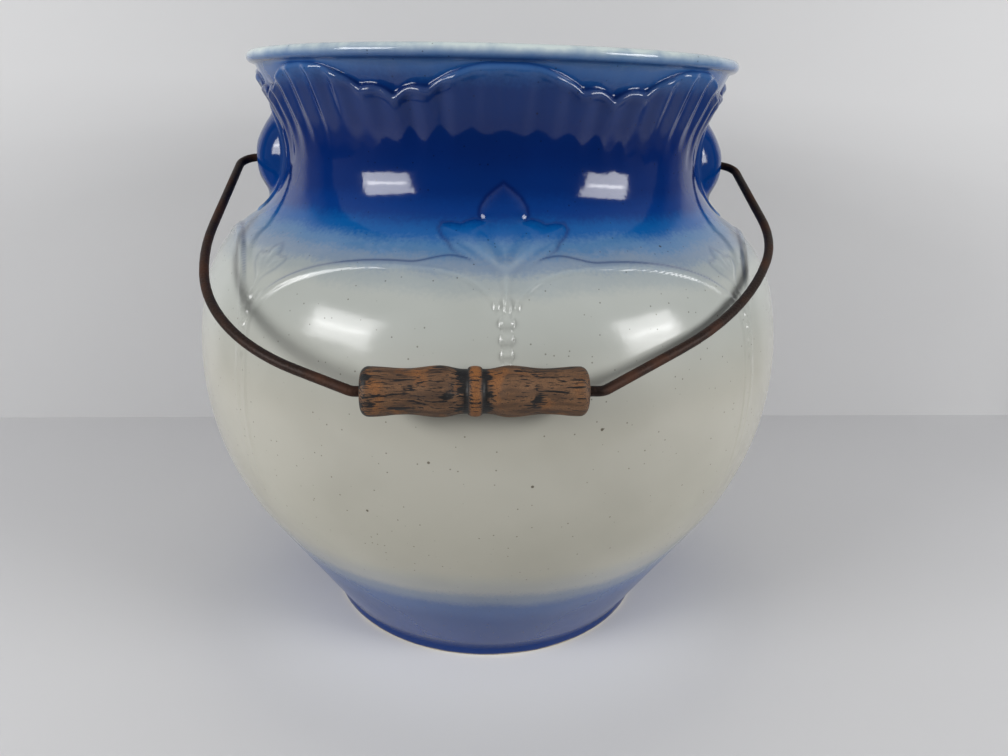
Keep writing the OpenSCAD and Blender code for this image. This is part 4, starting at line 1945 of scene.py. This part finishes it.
@dataclass(frozen=True)
class Softbox:
    """A softbox aimed at the jar: a cloth with a tube that shines through its middle.

    Attributes:
        name: Name of the lamp.
        azimuth: Direction from the jar, from the front towards +X.
        elevation: Height of that direction above level.
        distance: Metres from the jar.
        size: Width and height in metres.
        power: Power in watts.
        tube: Width and height of the tube as parts of the cloth's.
        tube_share: Part of the power that shines as the tube.
        tube_before: How far the tube is before the cloth, in metres.
    """

    name: str
    azimuth: float
    elevation: float
    distance: float
    size: tuple[float, float]
    power: float
    tube: tuple[float, float] = (0.80, 0.13)
    tube_share: float = 0.10
    tube_before: float = 0.02

    def hang(self, aim: Vector) -> None:
        """Makes the cloth and the tube.

        Args:
            aim: The point that they face, in metres.
        """
        turn, rise = math.radians(self.azimuth), math.radians(self.elevation)
        back = Vector((math.sin(turn) * math.cos(rise), -math.cos(turn) * math.cos(rise), math.sin(rise)))
        tube = (self.size[0] * self.tube[0], self.size[1] * self.tube[1])
        shine = self.power * self.tube_share
        self.lamp(self.name, aim + back * self.distance, back, self.size, self.power - shine)
        near = aim + back * (self.distance - self.tube_before)
        self.lamp(f"{self.name}_tube", near, back, tube, shine)

    def lamp(self, name: str, place: Vector, back: Vector, size: tuple[float, float], power: float) -> None:
        """Makes one rectangle of light.

        Args:
            name: Its name.
            place: Its middle, in metres.
            back: The direction to which it turns its back.
            size: Its width and height in metres.
            power: Its power in watts.
        """
        data = bpy.data.lights.new(name, "AREA")
        data.shape = "RECTANGLE"
        data.size, data.size_y = size
        data.energy = power
        lamp = bpy.data.objects.new(name, data)
        lamp.location = place
        lamp.rotation_mode = "QUATERNION"
        lamp.rotation_quaternion = (-back).to_track_quat("-Z", "Y")
        bpy.context.scene.collection.objects.link(lamp)


@dataclass(frozen=True)
class Studio:
    """The camera, the lamps, the dim room and the pale floor and wall.

    Attributes:
        eye: Place of the camera, in metres.
        look: Direction in which it looks.
        roll: How far the picture leans to the right.
        lens: Focal length on a 36 mm wide sensor.
        floor_tone: Colour of the floor.
        wall_tone: Colour of the wall.
        shade_tone: Colour of both far to the sides, a painted shade.
        pale_to: Where to the sides they start and end to darken into that painted shade, in millimetres.
        painted_light_tone: Colour of the painted light on the floor close before the foot, standing for light
            that the jar throws there.
        painted_light_to: How far from the axis that painted light starts and ends to fade, in millimetres.
        painted_light_from: How far before the axis it starts and is full, in millimetres.
        wall_at: Distance of the wall behind the jar, in metres.
        wall_h: Height of that wall, in metres.
        table_to: Distance of the table's front edge, in metres.
        sheet_to: How far the floor and the wall go to the sides, in metres.
        aim: The point that the lamps face, in metres.
        lamps: The softboxes.
        room: Light of the room in front, overhead and all round.
    """

    eye: tuple[float, float, float] = (-0.0182, -0.4166, 0.2741)
    look: tuple[float, float, float] = (0.0606, 0.938, -0.3415)
    roll: float = 1.28
    lens: float = 27.04
    floor_tone: Colour = (0.66, 0.66, 0.67)
    wall_tone: Colour = (0.66, 0.66, 0.665)
    shade_tone: Colour = (0.15, 0.15, 0.155)
    pale_to: Pair = (480.0, 720.0)
    painted_light_tone: Colour = (0.88, 0.875, 0.855)
    painted_light_to: Pair = (92.0, 168.0)
    painted_light_from: Pair = (0.0, 80.0)
    wall_at: float = 0.232
    wall_h: float = 2.2
    table_to: float = 0.40
    sheet_to: float = 4.0
    aim: tuple[float, float, float] = (0.0, 0.0, 0.17)
    lamps: tuple[Softbox, ...] = (
        Softbox("left_softbox", -57.0, 18.5, 1.2, (0.54, 0.42), 9.6),
        Softbox("right_softbox", 57.0, 17.5, 1.2, (0.50, 0.44), 9.0),
    )
    room: tuple[float, float, float] = (0.05, 0.38, 0.21)

    def camera(self) -> bpy.types.Object:
        """Makes the camera at the photograph's place.

        Returns:
            The camera.
        """
        data = bpy.data.cameras.new("camera")
        data.sensor_fit = "HORIZONTAL"
        data.sensor_width = 36.0
        data.lens = self.lens
        data.clip_start = 0.01
        ahead = Vector(self.look).normalized()
        right = ahead.cross(Vector((0.0, 0.0, 1.0))).normalized()
        up = right.cross(ahead)
        lean = math.radians(self.roll)
        right, up = right * math.cos(lean) + up * math.sin(lean), up * math.cos(lean) - right * math.sin(lean)
        camera = bpy.data.objects.new("camera", data)
        turn = Matrix((right, up, -ahead)).transposed()
        camera.matrix_world = Matrix.Translation(Vector(self.eye)) @ turn.to_4x4()
        bpy.context.scene.collection.objects.link(camera)
        bpy.context.scene.camera = camera
        return camera

    def sheet(self, name: str, places: Sequence[Sequence[float]], tone: Colour, see_back: bool) -> None:
        """Makes a flat sheet of the stage.

        Args:
            name: Name of the sheet.
            places: Its corners in metres.
            tone: Its colour.
            see_back: Whether it shows from behind.
        """
        mesh = bpy.data.meshes.new(name)
        mesh.from_pydata([tuple(p) for p in places], [], [(0, 1, 2, 3)])
        material = bpy.data.materials.new(name)
        tree = Tree(material)
        cloud = tree.noise(3.0, 2.0).step(0.3, 0.7)
        colour = tree.blend(cloud * 0.06, tone, (0.5, 0.5, 0.52), "MULTIPLY")
        across, deep = tree.axis("X"), tree.axis("Y")
        away = (across * across + deep * deep) ** 0.5
        # Painted light: the floor close before the foot is paler, standing for light that the jar throws
        # there.
        before = (1.0 - away.step(*self.painted_light_to)) * (deep * -1.0).step(*self.painted_light_from)
        colour = tree.blend(before, colour, self.painted_light_tone)
        # Painted shade: the floor and the wall darken far to the sides.
        aside = across.math("ABSOLUTE", across).step(*self.pale_to)
        colour = tree.blend(aside, colour, self.shade_tone)
        inputs = {"Base Color": colour, "Roughness": 0.55, "Specular IOR Level": 0.25}
        paper = tree.node("ShaderNodeBsdfPrincipled", {}, inputs, "BSDF")
        if not see_back:
            behind = tree.node("ShaderNodeNewGeometry", output="Backfacing")
            clear = tree.node("ShaderNodeBsdfTransparent")
            paper = tree.node("ShaderNodeMixShader", {}, {0: behind, 1: paper, 2: clear})
        tree.node("ShaderNodeOutputMaterial", {}, {"Surface": paper})
        mesh.materials.append(material)
        sheet = bpy.data.objects.new(name, mesh)
        bpy.context.scene.collection.objects.link(sheet)
        sheet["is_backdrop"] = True

    def light(self) -> None:
        """Lights the room: dim in front, brighter above, and two softboxes."""
        world = bpy.data.worlds.new("room")
        bpy.context.scene.world = world
        tree = Tree(world)
        way = tree.node("ShaderNodeTexCoord", output="Generated")
        back = tree.node("ShaderNodeSeparateXYZ", {}, {0: way}, "Y")
        rise = tree.node("ShaderNodeSeparateXYZ", {}, {0: way}, "Z")
        front, over, round_about = self.room
        behind = (back + 1.0).step(0.25, 1.1)
        level = behind * (round_about - front) + front
        level = level + rise.step(0.25, 0.9) * (behind * 0.8 + 0.2) * (over - front)
        shade = tree.node("ShaderNodeBackground", {}, {"Color": (1.0, 1.0, 1.02, 1.0), "Strength": level})
        tree.node("ShaderNodeOutputWorld", {}, {"Surface": shade})
        for lamp in self.lamps:
            lamp.hang(Vector(self.aim))

    def build(self) -> None:
        """Sets up the camera, the floor, the wall and the light."""
        self.camera()
        far, near, wall, high = self.sheet_to, -self.table_to, self.wall_at, self.wall_h
        floor = ((-far, near, 0.0), (far, near, 0.0), (far, far, 0.0), (-far, far, 0.0))
        behind = ((-far, wall, 0.0), (far, wall, 0.0), (far, wall, high), (-far, wall, high))
        self.sheet("floor", floor, self.floor_tone, see_back=True)
        self.sheet("wall", behind, self.wall_tone, see_back=False)
        self.light()
        bpy.context.scene.view_settings.view_transform = "Standard"


def corners(box: tuple[Vector, Vector]) -> list[list[float]]:
    """The two corners of a box as plain numbers."""
    return [[float(number) for number in corner] for corner in box]


def main() -> None:
    """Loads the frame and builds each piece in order."""
    logging.basicConfig(level=logging.INFO, format="%(name)s: %(message)s")
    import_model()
    solids_box = corners(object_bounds())
    form = JarForm()
    Studio().build()
    glaze = Stoneware("sprayed_glaze").make()
    Jar(form, Ornament()).dress(glaze)
    ear_glaze = Stoneware.of_ears().make()
    for side in Side:
        Ear(form, side).dress(ear_glaze)
    bail = Bail(form)
    bail.dress(RustedIron().make())
    Grip(bail).dress(WornWood().make())
    boxes = {"solids": solids_box, "dressed": corners(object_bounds())}
    LOG.info("boxes: %s", boxes)


if __name__ == "__main__":
    main()
